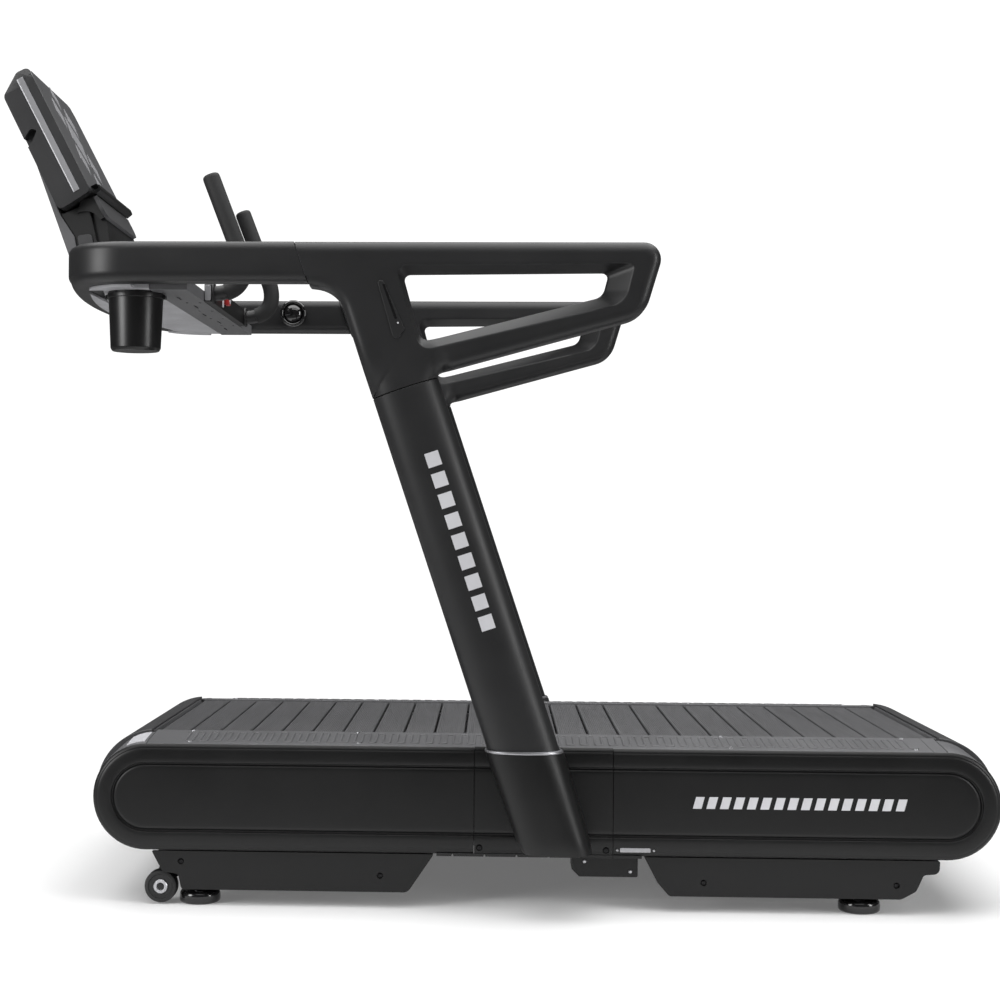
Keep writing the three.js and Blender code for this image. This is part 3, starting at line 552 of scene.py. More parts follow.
def on_drum(axle_x, radius, angle, y):
    """Point at an angle and a distance from a drum's axle."""
    return (axle_x + radius * math.cos(angle), y, AXLE_Z + radius * math.sin(angle))


def end_slope(share):
    """Radius at the outer and inner edge of an end piece, and how high it still stands, part way down."""
    rise = 0.5 + 0.5 * math.cos(math.pi * min(share / 0.42, 1))
    return COVER_R + 0.8 * rise + 0.4, COVER_R + 1.0 + 9.0 * rise, rise


def end_trim(name, side, axle_x, start, end):
    """Moulded end piece that carries the platform's slope down round a drum."""
    rows = []
    for i in range(31):
        share = i / 30
        angle = math.radians(start + (end - start) * share)
        low, high, rise = end_slope(share)
        crown, under = (high + low) / 2 + 0.5 * rise, COVER_R - 5.6
        section = [(301.2, under), (301.2, high - 1.5), (302.6, high), (348, crown), (394, low),
                   (395.4, low - 1.2), (395.4, under)]
        rows.append([on_drum(axle_x, r, angle, side * y) for y, r in section])
    return dressed(lofted(name, rows), "platform", sharp=38)


def make_platforms():
    """Two foot platforms with a raised serpentine tread, their curved end pieces and screws."""
    low_x, high_x = FRONT_X, REAR_X - 26
    inner, outer = PLATFORM_LOW.y + 0.4, PLATFORM_HIGH.y
    top, edge = PLATFORM_HIGH.z, PLATFORM_HIGH.z - 11.6

    def level(y):
        """Height of the platform's sloping top at a Y."""
        return top + (edge - top) * (abs(y) - inner) / (outer - inner)

    for name, side in SIDES.items():
        section = rounded([(side * inner, 300, 0.5), (side * outer, 300, 0.5), (side * outer, edge, 1.6),
                           (side * inner, top, 2.0)], 4)
        dressed(prism(f"platform_{name}", section, "x", low_x, high_x), "platform",
                stands_for=[f"foot_platform_{name}"], bevel=0.8)
        dressed(prism(f"platform_tail_{name}", section, "x", high_x + 0.9, REAR_X), "platform", bevel=0.8)
        end_trim(f"platform_end_front_{name}", side, FRONT_X, END_TOP, END_BOTTOM)
        end_trim(f"platform_end_rear_{name}", side, REAR_X, 180 - END_TOP, 180 - END_BOTTOM)
        tread(f"platform_tread_{name}", side, level)
        for i, x in enumerate((-566, -245, 100, 455, 800)):
            for k, y in enumerate((inner + 9, outer - 18)):
                screw(f"platform_screw_{name}_{i + 1}_{k + 1}", x + 8 * k, side * y, level(y) - 0.6, "z", 4)
    dressed(end_sticker(), "label", sharp=40)


def tread(name, side, level):
    """Serpentine rib that gives grip on a platform."""
    near, far, pitch, turn = 302, 374, 13.4, 4.0
    path, x, way = [Vector((-574, near))], -574 + pitch / 2, 1
    while x < 800:
        start, stop = (near, far) if way > 0 else (far, near)
        end = stop - way * turn
        path += [Vector((x, start + way * turn)), Vector((x, end))]
        for k in range(1, 5):
            a = math.pi * k / 8
            path.append(Vector((x + turn, end)) + turn * Vector((-math.cos(a), way * math.sin(a))))
        for k in range(4):
            a = math.pi * k / 8
            path.append(Vector((x + pitch - turn, end)) + turn * Vector((math.sin(a), way * math.cos(a))))
        x, way = x + pitch, -way
    rows = []
    for i, point in enumerate(path):
        along = (path[min(i + 1, len(path) - 1)] - path[max(i - 1, 0)]).normalized()
        across = Vector((along.y, -along.x))
        rib = []
        for offset, height in ((-2.4, -0.4), (-2.0, 1.3), (-1.1, 1.9), (1.1, 1.9), (2.0, 1.3), (2.4, -0.4)):
            x, y = point + across * offset
            rib.append((x, side * y, level(y) + height))
        rows.append(rib)
    dressed(lofted(name, rows), "platform", sharp=60)


def end_sticker():
    """Blank light label on the front end of the left platform."""
    rows = []
    for degrees in (93, 98, 103, 108, 113):
        angle = math.radians(degrees)
        low, high, _ = end_slope((degrees - END_TOP) / (END_BOTTOM - END_TOP))
        inner, outer = low + (high - low) * 0.96 + 0.9, low + (high - low) * 0.1 + 0.9
        section = [(inner - 1.2, -306), (inner, -306), ((inner + outer) / 2 + 0.4, -345), (outer, -384),
                   (outer - 1.2, -384)]
        rows.append([on_drum(FRONT_X, r, angle, y) for r, y in section])
    return lofted("blank_label", rows)


def end_cover(name, axle_x, start, end, node):
    """Channel over the belt where it turns down, with a moulded rib along its outer edge."""
    half = [(115, 297), (114.8, 298.6), (113.6, 299.8), (100.6, 299.6), (100.6, 278.2), (112.4, 278.0)]
    mirror = [(r, -y) for r, y in reversed(half)]
    section = mirror[2:] + half + mirror[:2]
    rows = []
    for i in range(33):
        angle = math.radians(start + (end - start) * i / 32)
        rows.append([on_drum(axle_x, r, angle, y) for r, y in section])
    return dressed(lofted(name, rows), "cover_mid", stands_for=[node], sharp=32)


FOOT_COVERS = {
    "front": [(-627, 103.5, 2), (-606, 64, 10), (-576, 60, 6), (-570, 31, 8), (-142, 31, 16),
              (-93, 103.5, 2)],
    "rear": [(301, 103.5, 2), (326, 56, 16), (348, 31, 10), (778, 31, 20), (806, 46, 16), (820, 77, 8),
             (849, 79, 12), (850, 103.5, 3)],
}
FOOT_SCREWS = {"front": [(-571, 84), (-194, 62)], "rear": [(412, 57), (770, 57)]}
FOOT_HOLLOWS = {"front": (-553, -150), "rear": (360, 776)}
FOOT_X = {"front": -541, "rear": 709}
FOOT_Y = 350
WHEEL_X, WHEEL_Z = -611, 34


def make_foot_covers():
    """Plastic covers over the base frame's legs, hollow inside and open round the feet and wheels."""
    for name, side in SIDES.items():
        for end, outline in FOOT_COVERS.items():
            shell = prism(f"foot_shell_{end}_{name}", rounded(outline), "y", *mirrored(side, 302, 394))
            leg = FOOT_X[end]
            tools = [side_block("hollow", side, FOOT_HOLLOWS[end], (310, 388), (38, 110)),
                     side_block("leg", side, (leg - 32, leg + 32), (316, 384), (36, 110)),
                     prism("foot", circle(leg, side * FOOT_Y, 42, 40), "z", 25, 45)]
            if end == "front":
                tools.append(side_block("wheel", side, (-640, -570), (346, 389), (20, 110)))
            tools += [prism("hole", circle(x, z, 6), "y", *mirrored(side, 389, 400))
                      for x, z in FOOT_SCREWS[end]]
            carved(shell, *tools)
            dressed(shell, "cover", stands_for=[f"foot_cover_{end}_{name}"], sharp=40, bevel=1.6, steps=3)
            for k, (x, z) in enumerate(FOOT_SCREWS[end]):
                screw(f"foot_screw_{end}_{name}_{k + 1}", x, side * 389.5, z, "y", 4.6, side, "black_screw")


def make_foot(end, name, side):
    """Levelling foot: a rubber disc, a threaded stud and its lock nut."""
    body, x, y = f"foot_{end}_{name}", FOOT_X[end], side * FOOT_Y
    disc = [(0, 0), (33, 0), (36, 0.8), (38.4, 3.4), (39, 7), (39, 15), (38.2, 19), (35.5, 22.4), (31, 24),
            (18, 24.6), (13, 25.2), (11.6, 27), (11.2, 31), (9.6, 32), (0, 32)]
    dressed(lathe(f"foot_pad_{end}_{name}", disc, "z", (x, y), 56), "foot", body=body,
            stands_for=[f"levelling_foot_{end}_{name}"])
    thread = [(0, 30)]
    for k in range(34):
        thread += [(6.2, 31 + 2 * k), (7, 32 + 2 * k)]
    thread += [(6.2, 99), (0, 100)]
    dressed(lathe(f"foot_stud_{end}_{name}", thread, "z", (x, y), 24), "zinc", body=body, sharp=50)
    dressed(prism(f"foot_nut_{end}_{name}", circle(x, y, 12.5, 6), "z", 33, 41), "zinc", body=body, bevel=1)


def make_wheel(name, side):
    """Transport wheel: a rubber tyre round a bright bush."""
    tyre = [(13.4, 360), (26, 360), (29.4, 361.2), (31, 364), (31, 382), (29.4, 384.8), (26, 386),
            (23.5, 386), (22.5, 384.4), (14.6, 384.4), (13.4, 386)]
    bush = [(6.7, 360), (13.2, 360), (13.2, 386.4), (12.2, 387.2), (7.6, 387.2), (6.7, 386)]
    for part, points, turns, look, nodes in (("tyre", tyre, 56, "tyre", [f"transport_wheel_{name}"]),
                                             ("bush", bush, 48, "zinc", [])):
        profile = [(r, side * y) for r, y in points]
        turned = lathe(f"wheel_{part}_{name}", profile, "y", (WHEEL_X, WHEEL_Z), turns, ring=True)
        dressed(turned, look, body=f"wheel_{name}", stands_for=nodes)


def make_feet_and_wheels():
    """Four levelling feet and the two wheels at the front."""
    for name, side in SIDES.items():
        for end in FOOT_X:
            make_foot(end, name, side)
        make_wheel(name, side)


def make_power_inlet():
    """Inlet box under the left side cover, with its socket, neck and screws."""
    low, high = span("power_inlet")
    outline = rounded([(low.x, low.z + 14, 3), (low.x + 14, low.z, 3), (high.x, low.z, 3), (high.x, 103, 3),
                       (low.x, 103, 3)])
    shell = prism("power_inlet_box", outline, "y", -382, -322)
    carved(shell, block("socket", (high.x - 18, -365, 73), (high.x + 5, -338, 93)))
    dressed(shell, "cover", stands_for=["power_inlet"], bevel=1.4)
    dressed(block("power_inlet_neck", (low.x + 20, -336, 102), (high.x - 20, -304, high.z)), "cover", bevel=1)
    for k, (y, z) in enumerate(((-356, 86), (-347, 86), (-351.5, 79))):
        pin = block(f"power_inlet_pin_{k + 1}", (high.x - 18, y - 1, z - 2), (high.x - 6, y + 1, z + 2))
        dressed(pin, "zinc", bevel=0.4)
    for k, (x, z) in enumerate(((low.x + 24, 92), (high.x - 14, 74))):
        screw(f"power_inlet_screw_{k + 1}", x, -382, z, "y", 3.6, -1)


def oval_share(share):
    """Half depth of the upright's oval, as a share of its largest, at a share of its half width."""
    return (1 - share ** OVAL_POWER) ** (1 / OVAL_POWER)


def upright_stripe(name, foot):
    """Plain light patch that follows the left upright's round face."""
    rows = []
    for a in (-13, -6.5, 0, 6.5, 13):
        row = []
        for b, sink in ((0, -0.5), (27, -0.5), (27, 3), (0, 3)):
            x, z = foot + ACROSS_POST * a + UP_POST * b
            reach = abs((Vector((x, z)) - SEAM).dot(ACROSS_POST)) / UPRIGHT_HALF[0]
            row.append((x, sink - UPRIGHT_Y - UPRIGHT_HALF[1] * oval_share(reach), z))
        rows.append(row)
    dressed(lofted(name, rows), "label", sharp=40)


def make_plain_markings():
    """Plain stripes and a blank plate in place of the printed markings."""
    y = -402.9
    for k in range(16):
        x = 390 + 25 * k
        bar = [(x, 197), (x + 16, 197), (x + 22, 219), (x + 6, 219)]
        dressed(prism(f"side_stripe_{k + 1}", bar, "y", y, y + 0.7), "label", sharp=40)
    for k in range(9):
        upright_stripe(f"upright_stripe_{k + 1}", SEAM - UP_POST * (466 - 39 * k) + ACROSS_POST * 9)
    plate = rounded(rectangle(255, 312, 114, 122, 2, 2, 2, 2))
    dressed(prism("blank_plate", plate, "y", -404.2, -403.2), "silver", sharp=40)
    for k, x in enumerate((250, 318)):
        screw(f"blank_plate_screw_{k + 1}", x, -403.4, 118, "y", 2.6, -1)


# ---- uprights and boots ---------------------------------------------------------------------
UPRIGHT_LOW = span("upright_right")[0]
UPRIGHT_HALF = (63, 42)
UPRIGHT_Y = RAIL_HIGH.y - UPRIGHT_HALF[1]
RING_LOW, RING_HIGH = span("boot_ring_right")
BOOT_LOW, BOOT_HIGH = span("upright_boot_right")


def superellipse(half_a, half_b, power, steps=72):
    """Points (a, b) round an oval; power 2 is an ellipse and more is squarer."""
    points = []
    for i in range(steps):
        c, s = math.cos(TAU * i / steps), math.sin(TAU * i / steps)
        a, b = abs(c) ** (2 / power), abs(s) ** (2 / power)
        points.append((half_a * math.copysign(a, c), half_b * math.copysign(b, s)))
    return points


def axis_x(z):
    """X of the upright's centre line at a height."""
    return SEAM.x + (SEAM.y - z) * math.tan(LEAN)


def make_uprights():
    """Leaning oval uprights, each with its boot."""
    for name, side in SIDES.items():
        rows = []
        for down, shrink in ((0.8, 1.2), (2.0, 0), (840, 0)):
            centre = SEAM - UP_POST * down
            oval = superellipse(UPRIGHT_HALF[0] - shrink, UPRIGHT_HALF[1] - shrink, OVAL_POWER)
            rows.append([(centre.x + a * ACROSS_POST.x, side * (UPRIGHT_Y + b), centre.y + a * ACROSS_POST.y)
                         for a, b in oval])
        post = lofted(f"upright_tube_{name}", rows)
        trimmed(post, (0, 0, UPRIGHT_LOW.z), (0, 0, -1))
        dressed(post, "paint", stands_for=[f"upright_{name}"], sharp=40)
        make_boot(name, side)


def make_boot(name, side):
    """Sheath at the upright's foot, flat against the side cover, with a bright level ring on top."""
    rows, wall_y = [], side * (COVER_Y[1] + 0.6)
    for z in (BOOT_HIGH.z, BOOT_HIGH.z - 1.2, 280, 250, 220, 190, 165, 150, 138, 130, 126, 124.5):
        share = (BOOT_HIGH.z - z) / (BOOT_HIGH.z - BOOT_LOW.z)
        tuck = max(0.0, (150 - z) / 26)
        left = axis_x(z) - 72.5 + 4 * share + 5 * tuck ** 2
        right = min(axis_x(z) + 72.5 - 6 * share, 208) - 3 * tuck ** 2
        crest, wall = RAIL_HIGH.y + 5.4 - 2 * tuck ** 2, 462 - 20 * share
        power, centre, half = 2.3 + 1.2 * share, (left + right) / 2, (right - left) / 2
        row = [(left, wall_y, z)]
        for i in range(41):
            c, s = math.cos(math.pi - math.pi * i / 40), math.sin(math.pi * i / 40)
            row.append((centre + half * math.copysign(abs(c) ** (2 / power), c),
                        side * (wall + (crest - wall) * s ** (2 / power)), z))
        rows.append(row + [(right, wall_y, z)])
    dressed(lofted(f"boot_shell_{name}", rows), "cover", stands_for=[f"upright_boot_{name}"], sharp=50)
    low, high = RING_LOW.z, RING_HIGH.z
    half_x, half_y = UPRIGHT_HALF[0] * (1 / math.cos(LEAN)), UPRIGHT_HALF[1]
    ring = []
    for grow, z in ((0.6, low), (4.4, low), (5.4, low + 1.2), (5.6, low + 2.6), (5.0, high - 2.6),
                    (3.0, high - 1.6), (1.4, high - 1.4), (0.6, high - 2)):
        oval = superellipse(half_x + grow, half_y + grow, OVAL_POWER)
        ring.append([(axis_x(z) + a, side * (UPRIGHT_Y + b), z) for a, b in oval])
    dressed(raw(f"boot_trim_{name}", *grid(ring, closed_rows=True, closed_across=True)), "ring",
            stands_for=[f"boot_ring_{name}"])


# ---- handrail loops -------------------------------------------------------------------------
LOOP_R = 20
LOOP_MID = (RAIL_HIGH.y + RAIL_LOW.y) / 2 + 7
LOOP_HALF = RAIL_HIGH.y - LOOP_MID
LOOP_COUNTS = (80, 40, 80, 16, 20, 40, 26, 40)
LEFT_SHARES = (0, 0.05, 0.2, 0.72, 0.88, 1.0)


def split(outline, keys):
    """A closed outline cut at the points nearest to the keys, as open lines from key to key."""
    dense = []
    for a, b in zip(outline, outline[1:] + outline[:1]):
        steps = max(1, round((b - a).length / 3))
        dense += [a.lerp(b, i / steps) for i in range(steps)]
    order = [min(range(len(dense)), key=lambda i: (dense[i] - Vector(key)).length) for key in keys]
    return [dense[a:b + 1] if b > a else dense[a:] + dense[:b + 1]
            for a, b in zip(order, order[1:] + order[:1])]


def stretch(line, start, end, count):
    """Evenly spaced points between two fractions of an open line, without the last one."""
    fine = resampled(line, 1201)
    return [fine[round(1200 * (start + (end - start) * i / count))] for i in range(count)]


def loop_outlines():
    """Outer edge, opening in the face and narrowest opening of a handrail loop, with matching points."""
    reach, lift = ACROSS_POST * UPRIGHT_HALF[0], UP_POST * 0.5
    right_foot, left_foot = SEAM + reach + lift, SEAM - reach + lift
    outer = rounded([(-420, 1240, 30), (326.5, 1240, 31), (286, 1104, 60), (-91, 1000.1, 5), (*right_foot,),
                     (*left_foot,), (-273, 1151, 62), (-420, 1168, 30)], 10)
    face = rounded([(-168, 1196, 16), (268, 1200, 9), (250, 1128, 40), (-121, 1040, 24)], 10)
    hole = rounded([(-154, 1181, 10), (222, 1185, 9), (211, 1142, 24), (-120, 1058, 18)], 10)
    edge_lines = split(outer, [(-160, 1240), (306, 1234), (278, 1110), (-85, 1001.8), (*right_foot,),
                               (*left_foot,), (-256, 1098), (-335, 1160)])
    edge = [p for line, n in zip(edge_lines, LOOP_COUNTS) for p in stretch(line, 0, 1, n)]
    rings = [edge]
    for line in split(face, [(-163, 1192), (265, 1197), (240, 1130), (-116, 1045)]), \
            split(hole, [(-151, 1178), (220, 1183), (205, 1139), (-116, 1062)]):
        ring = [p for piece, n in zip(line[:3], LOOP_COUNTS) for p in stretch(piece, 0, 1, n)]
        for start, end, n in zip(LEFT_SHARES, LEFT_SHARES[1:], LOOP_COUNTS[3:]):
            ring += stretch(line[3], start, end, n)
        rings.append(ring)
    return rings


def smoothstep(value):
    """Smooth rise from 0 to 1 as the value goes from 0 to 1."""
    value = min(max(value, 0.0), 1.0)
    return value * value * (3 - 2 * value)


def loop_depth(point, depth):
    """Half thickness and middle of a handrail loop at a point; its foot takes on the upright's oval."""
    offset = point - SEAM
    height, across = offset.dot(UP_POST), offset.dot(ACROSS_POST)
    width = UPRIGHT_HALF[0] + max(height, 0) * (1.2 if across > 0 else 0.1)
    share = (1 - smoothstep((height - 4) / 105)) * (1 - smoothstep((across - 60) / 34))
    oval = UPRIGHT_HALF[1] * oval_share(min(abs(across) / width, 1))
    return depth + (oval - depth) * share, LOOP_MID + (UPRIGHT_Y - LOOP_MID) * share


def softened(edge, distance):
    """The edge moved inwards, and less so near the foot, where the loop ends square on the upright."""
    moved = []
    for here, there in zip(edge, inset(edge, distance)):
        offset = here - SEAM
        away = max(offset.dot(UP_POST), offset.dot(ACROSS_POST) - UPRIGHT_HALF[0], 0)
        moved.append(here.lerp(there, min(away / 24, 1)))
    return moved


def between(first, second, share):
    """Points a share of the way from one line to another with as many points."""
    return [a.lerp(b, share) for a, b in zip(first, second)]


def make_handrail_loop(name, side):
    """Closed-loop handrail: rounded outer edge, flat face and a dished opening, drawn as rings round it."""
    edge, face, hole = loop_outlines()
    rings = [(edge, 0.0), (edge, LOOP_HALF - LOOP_R)]
    for k in range(1, 7):
        angle = math.pi / 2 * k / 6
        moved = softened(edge, LOOP_R * (1 - math.cos(angle)))
        rings.append((moved, LOOP_HALF - LOOP_R + LOOP_R * math.sin(angle)))
    last = rings[-1][0]
    rings += [(between(last, face, share), LOOP_HALF) for share in (0.12, 0.26, 0.42, 0.6, 0.8, 0.96)]
    rings.append((face, LOOP_HALF - 0.5))
    rings += [(between(face, hole, share), depth)
              for share, depth in ((0.05, LOOP_HALF - 2.2), (0.9, 5.0), (0.985, 1.8))]
    rings.append((hole, 0.0))
    rows = []
    for out in (1, -1):
        for ring, depth in rings if out > 0 else rings[-2:0:-1]:
            row = []
            for point in ring:
                half, middle = loop_depth(point, depth)
                row.append((point.x, side * (middle + out * half), point.y))
            rows.append(row)
    loop = raw(f"handrail_{name}", *grid(rows, closed_rows=True, closed_across=True))
    trimmed(loop, (-353 + 0.9, 0, 1240), (-72, 0, -25))
    dressed(loop, "paint", stands_for=[f"handrail_loop_{name}"], sharp=42)
    bead_on_seam(f"seam_bead_bar_{name}", side, Vector((-353.2, 1240)), Vector((-328.2, 1168)))
    sensor_panel(name, side)


def bead_on_seam(name, side, top, bottom):
    """Thin bright line in the joint between a loop and the front bar."""
    run, wide = (bottom - top).normalized(), Vector((1.1, 0))
    outline = [top + run * 9, bottom - run * 8, bottom - run * 8 + wide, top + run * 9 + wide]
    ends = mirrored(side, RAIL_HIGH.y - 1.2, RAIL_HIGH.y + 0.3)
    dressed(prism(name, outline, "y", *ends), "silver", sharp=40)


def sensor_panel(name, side):
    """Slim raised pad on the outer face of a loop, with a slot and an indicator."""
    y = RAIL_HIGH.y
    outline = rounded([(-201, 1171, 5), (-188, 1166, 6), (-149, 1080, 6), (-160, 1061, 6),
                       (-170, 1064, 5)], 4)
    pad = prism(f"grip_sensor_{name}", outline, "y", *mirrored(side, y - 1, y + 1.9))
    dressed(pad, "paint", bevel=0.9)
    slot_line = rounded([(-191, 1163, 2), (-186, 1161, 2), (-162, 1096, 2), (-167, 1097, 2)], 3)
    slot = prism(f"grip_sensor_slot_{name}", slot_line, "y", *mirrored(side, y, y + 2.3))
    dressed(slot, "gloss", bevel=0.4)
    dot = [(r, side * (y + out)) for r, out in ((0, 2.6), (1.2, 2.6), (1.6, 2.2), (1.6, 0), (0, 0))]
    dressed(lathe(f"grip_sensor_lamp_{name}", dot, "y", (-161, 1090), 16), "label")


# ---- front bar ------------------------------------------------------------------------------
BAR_BOW = 44
BAR_CORNER = 120
BAR_INSET = 64


def bar_outline(offset):
    """Plan of the bowed front bar, moved inwards by a distance, from the right arm to the left."""
    half = RAIL_HIGH.y - offset
    radius = BAR_CORNER - offset * 0.6
    flat, bow_half = RAIL_HIGH.y - BAR_CORNER, half - radius

    def bow(y):
        """X of the bar's bowed front at a Y."""
        return BAR_LOW.x + offset + BAR_BOW * (y / flat) ** 2

    corner = arc(bow(bow_half) + radius, bow_half, radius, 90, 180, 16)
    front = [Vector((bow(bow_half * (1 - i / 14)), bow_half * (1 - i / 14))) for i in range(1, 28)]
    left_corner = [Vector((p.x, -p.y)) for p in reversed(corner)]
    return [Vector((-300, half)), *corner, *front, *left_corner, Vector((-300, -half))]


def make_front_bar():
    """Bowed bar round the front, with a squarish section drawn along its plan."""
    low, high = BAR_LOW.z, BAR_HIGH.z
    section = rounded([(0, low, 20), (0, high, 17), (BAR_INSET, high, 17), (BAR_INSET, low, 20)], 7)
    across = [[(p.x, p.y, z) for p in bar_outline(offset)] for offset, z in section]
    bar = lofted("front_handlebar", list(zip(*across)))
    trimmed(bar, (-353 - 1.0, 0, 1240), (72, 0, 25))
    dressed(bar, "paint", stands_for=["front_bar"], sharp=42)


# ---- tray, cup and grips --------------------------------------------------------------------
TRAY_HIGH = span("console_tray")[1]
CUP_LOW, CUP_HIGH = span("cup_holder")
CUP_X, CUP_Y = (CUP_LOW.x + CUP_HIGH.x) / 2, (CUP_LOW.y + CUP_HIGH.y) / 2
TRAY_SPLIT = -630


def cup_hole(radius):
    """Cutter for the round opening that the bottle holder hangs in."""
    return prism("cup_hole", circle(CUP_X, CUP_Y, radius, 48), "z", 1150, 1200)


def make_tray():
    """Light front shell and darker slotted rear panel of the tray, and a rim under the bar."""
    pan = prism("tray_pan", [p for p in bar_outline(38) if p.x < -560], "z", 1159.4, BAR_LOW.z - 0.4)
    carved(pan, block("inner", (-760, -408, 1150), (-400, 408, 1190)), cup_hole(54.5))
    dressed(pan, "tray", bevel=1.0, sharp=40)
    half, rear_x = RAIL_HIGH.y - BAR_INSET - 1.5, TRAY_HIGH.x - 14.4
    outline = [p for p in bar_outline(BAR_INSET + 1.5) if p.x < TRAY_HIGH.x]
    outline = [Vector((rear_x, half)), *outline, Vector((rear_x, -half))]
    shell = prism("tray_shell", outline, "z", 1160, 1180)
    ribs = [block("rib", (-800, y - 1.2, 1158), (TRAY_SPLIT - 26, y + 1.2, 1161.4))
            for y in range(-330, 331, 110)]
    carved(shell, block("rear", (TRAY_SPLIT, -600, 1150), (0, 600, 1190)), cup_hole(52), *ribs)
    dressed(shell, "tray", stands_for=["console_tray"], bevel=1.2, sharp=40)
    panel = prism("tray_panel", outline, "z", 1157.5, 1179)
    slots = [block("slot", (-600 + 8 * (k % 2), y - 24, 1150), (-596 + 8 * (k % 2), y + 24, 1161))
             for k, y in enumerate((-300, -150, 0, 150, 300))]
    slots += [block("slot", (x, y - 6, 1150), (x + 4, y + 6, 1161))
              for y in (-225, -75, 75, 225) for x in (-598, -572)]
    carved(panel, block("front", (-900, -600, 1100), (TRAY_SPLIT + 1, 600, 1200)), cup_hole(52), *slots)
    dressed(panel, "tray_dark", bevel=0.8, sharp=40)
    make_tray_lip()


def make_tray_lip():
    """Raised lip along the tray's rear edge, with a slot for the key, a bright strip and end caps."""
    x = TRAY_HIGH.x
    band = prism("tray_lip", rounded(rectangle(-246, 246, 1158, 1193, 3, 3, 5, 5), 4), "x", x - 14, x)
    carved(band, block("key_slot", (x - 8, -83, 1170), (x + 5, -57, 1184)))
    dressed(band, "cover", bevel=2.2, steps=3)
    strip = block("tray_lip_strip", (x - 11, -240, 1192.6), (x - 4, 240, 1193.8))
    dressed(strip, "silver", bevel=0.5)
    for name, side in SIDES.items():
        section = rounded(rectangle(x - 13, x - 1, 1160, 1190, 3, 3, 3, 3), 3)
        cap = prism(f"tray_lip_cap_{name}", section, "y", *mirrored(side, 246.2, 248.4))
        dressed(cap, "trim", bevel=0.6)


def make_cup_holder():
    """Bottle holder that hangs in the tray by its rim, with two small ears below."""
    wall, top, bottom = 3, CUP_HIGH.z, CUP_LOW.z
    outside = [(0, bottom + 1.2), (38, bottom + 1.2, 2), (40, bottom, 1), (44, bottom, 3),
               (47.4, bottom + 6, 5), (51.4, 1146, 1), (51.4, 1148, 0.5), (53.6, 1148, 1), (53.6, 1157.4, 1),
               (51.5, 1157.4, 0), (51.5, 1180.4, 0), (57.5, 1180.4, 1), (57.5, top, 2.4)]
    inside = [(51.5 - wall, top, 2.4), (47 - wall, bottom + 7, 5), (0, bottom + 7)]
    cup = lathe("bottle_holder", rounded(outside + inside, 5), "z", (CUP_X, CUP_Y), 96)
    dressed(cup, "cup", stands_for=["cup_holder"], sharp=40)
    for k, way in enumerate((-1, 1)):
        near, far = CUP_X + way * 52, CUP_X + way * 58
        ear = rounded(rectangle(near, far, 1147, 1155, 1, 2.4, 2.4, 1), 4)
        dressed(prism(f"bottle_holder_ear_{k + 1}", ear, "y", CUP_Y - 7, CUP_Y + 7), "cup", bevel=1.4)


def bezier(a, b, c, d, steps):
    """Points along a cubic curve from a to d, pulled towards b and c."""
    return [a * (1 - t) ** 3 + 3 * b * t * (1 - t) ** 2 + 3 * c * t * t * (1 - t) + d * t ** 3
            for t in (i / steps for i in range(steps + 1))]


def make_grips():
    """Foam-covered grips with a rounded end, on a steel stub that enters the tray's lip."""
    low, high = span("hand_grip_right")
    y, r = (low.y + high.y) / 2, (high.y - low.y) / 2 + 1.2
    top, knee = Vector((-551.4, 0, 1412)), Vector((-491, 0, 1255))
    foot = Vector((TRAY_HIGH.x + 0.4, 0, 1176))
    bend = bezier(knee, Vector((-476, 0, 1216)), Vector((-484, 0, 1176)), foot, 30)
    for name, side in SIDES.items():
        shift, along = Vector((0, side * y, 0)), (knee - top).normalized()
        path = [top + along * s for s in (0.0, 0.8, 2.4, 5, 9)]
        radii = [r - 8, r - 4.6, r - 2, r - 0.6, r]
        path += [knee - along * s for s in (40, 2)] + bend[1:-5]
        radii += [r] * (2 + len(bend) - 6)
        foam = tube(f"grip_foam_{name}", [p + shift for p in path], radii)
        dressed(foam, "foam", stands_for=[f"hand_grip_{name}"], sharp=50)
        stub = [p + shift for p in bend[-6:]]
        dressed(tube(f"grip_stub_{name}", stub, [r - 2.4] * len(stub)), "paint", sharp=50)
        section = [(r - 2, 0), (r + 4, 0), (r + 4, 3), (r + 3, 4), (r - 2, 4)]
        collar = lathe(f"grip_collar_{name}", [(a, foot.x + b) for a, b in section], "x",
                       (side * y, foot.z), 36, ring=True)
        dressed(collar, "gloss_dark", sharp=40)


# Profiles of the dials: distance from the axis, and height above the arm's inner face.
DIAL_RING = [(20, 3.4), (29.4, 3.4), (31, 5), (31, 23), (29.6, 25.6), (27, 27), (24.4, 26.4), (23, 24),
             (20, 20)]
DIAL_CAP = [(0, 31.5), (7, 31), (13.4, 29.4), (18.4, 26.6), (21.2, 23), (22.2, 19), (22.2, 8), (0, 8)]
DIAL_SPINDLE = [(0, 8), (10, 8), (10, 0.4), (0, 0.4)]


def make_dials():
    """Rotary dials on the inner faces of the arms: a knurled ring round a glossy domed cap."""
    x, _, z = pivot("dial_left_turn")
    face = RAIL_HIGH.y - BAR_INSET
    for name, side in SIDES.items():
        for part, profile, steps, look, sharp in (("ring", DIAL_RING, 64, "gloss", 50),
                                                  ("cap", DIAL_CAP, 48, "gloss", 50),
                                                  ("spindle", DIAL_SPINDLE, 32, "aluminium", 35)):
            turned = [(r, side * (face - height)) for r, height in profile]
            piece = lathe(f"dial_{part}_{name}", turned, "y", (x, z), steps, ring=part == "ring")
            stands_for = [f"control_dial_{name}"] if part == "ring" else []
            dressed(piece, look, body=f"dial_{name}", stands_for=stands_for, sharp=sharp)
        knurl = dial_knurl(f"dial_knurl_{name}", Vector((x, z)), (side * (face - 7), side * (face - 21)))
        dressed(knurl, "gloss", body=f"dial_{name}", sharp=30)


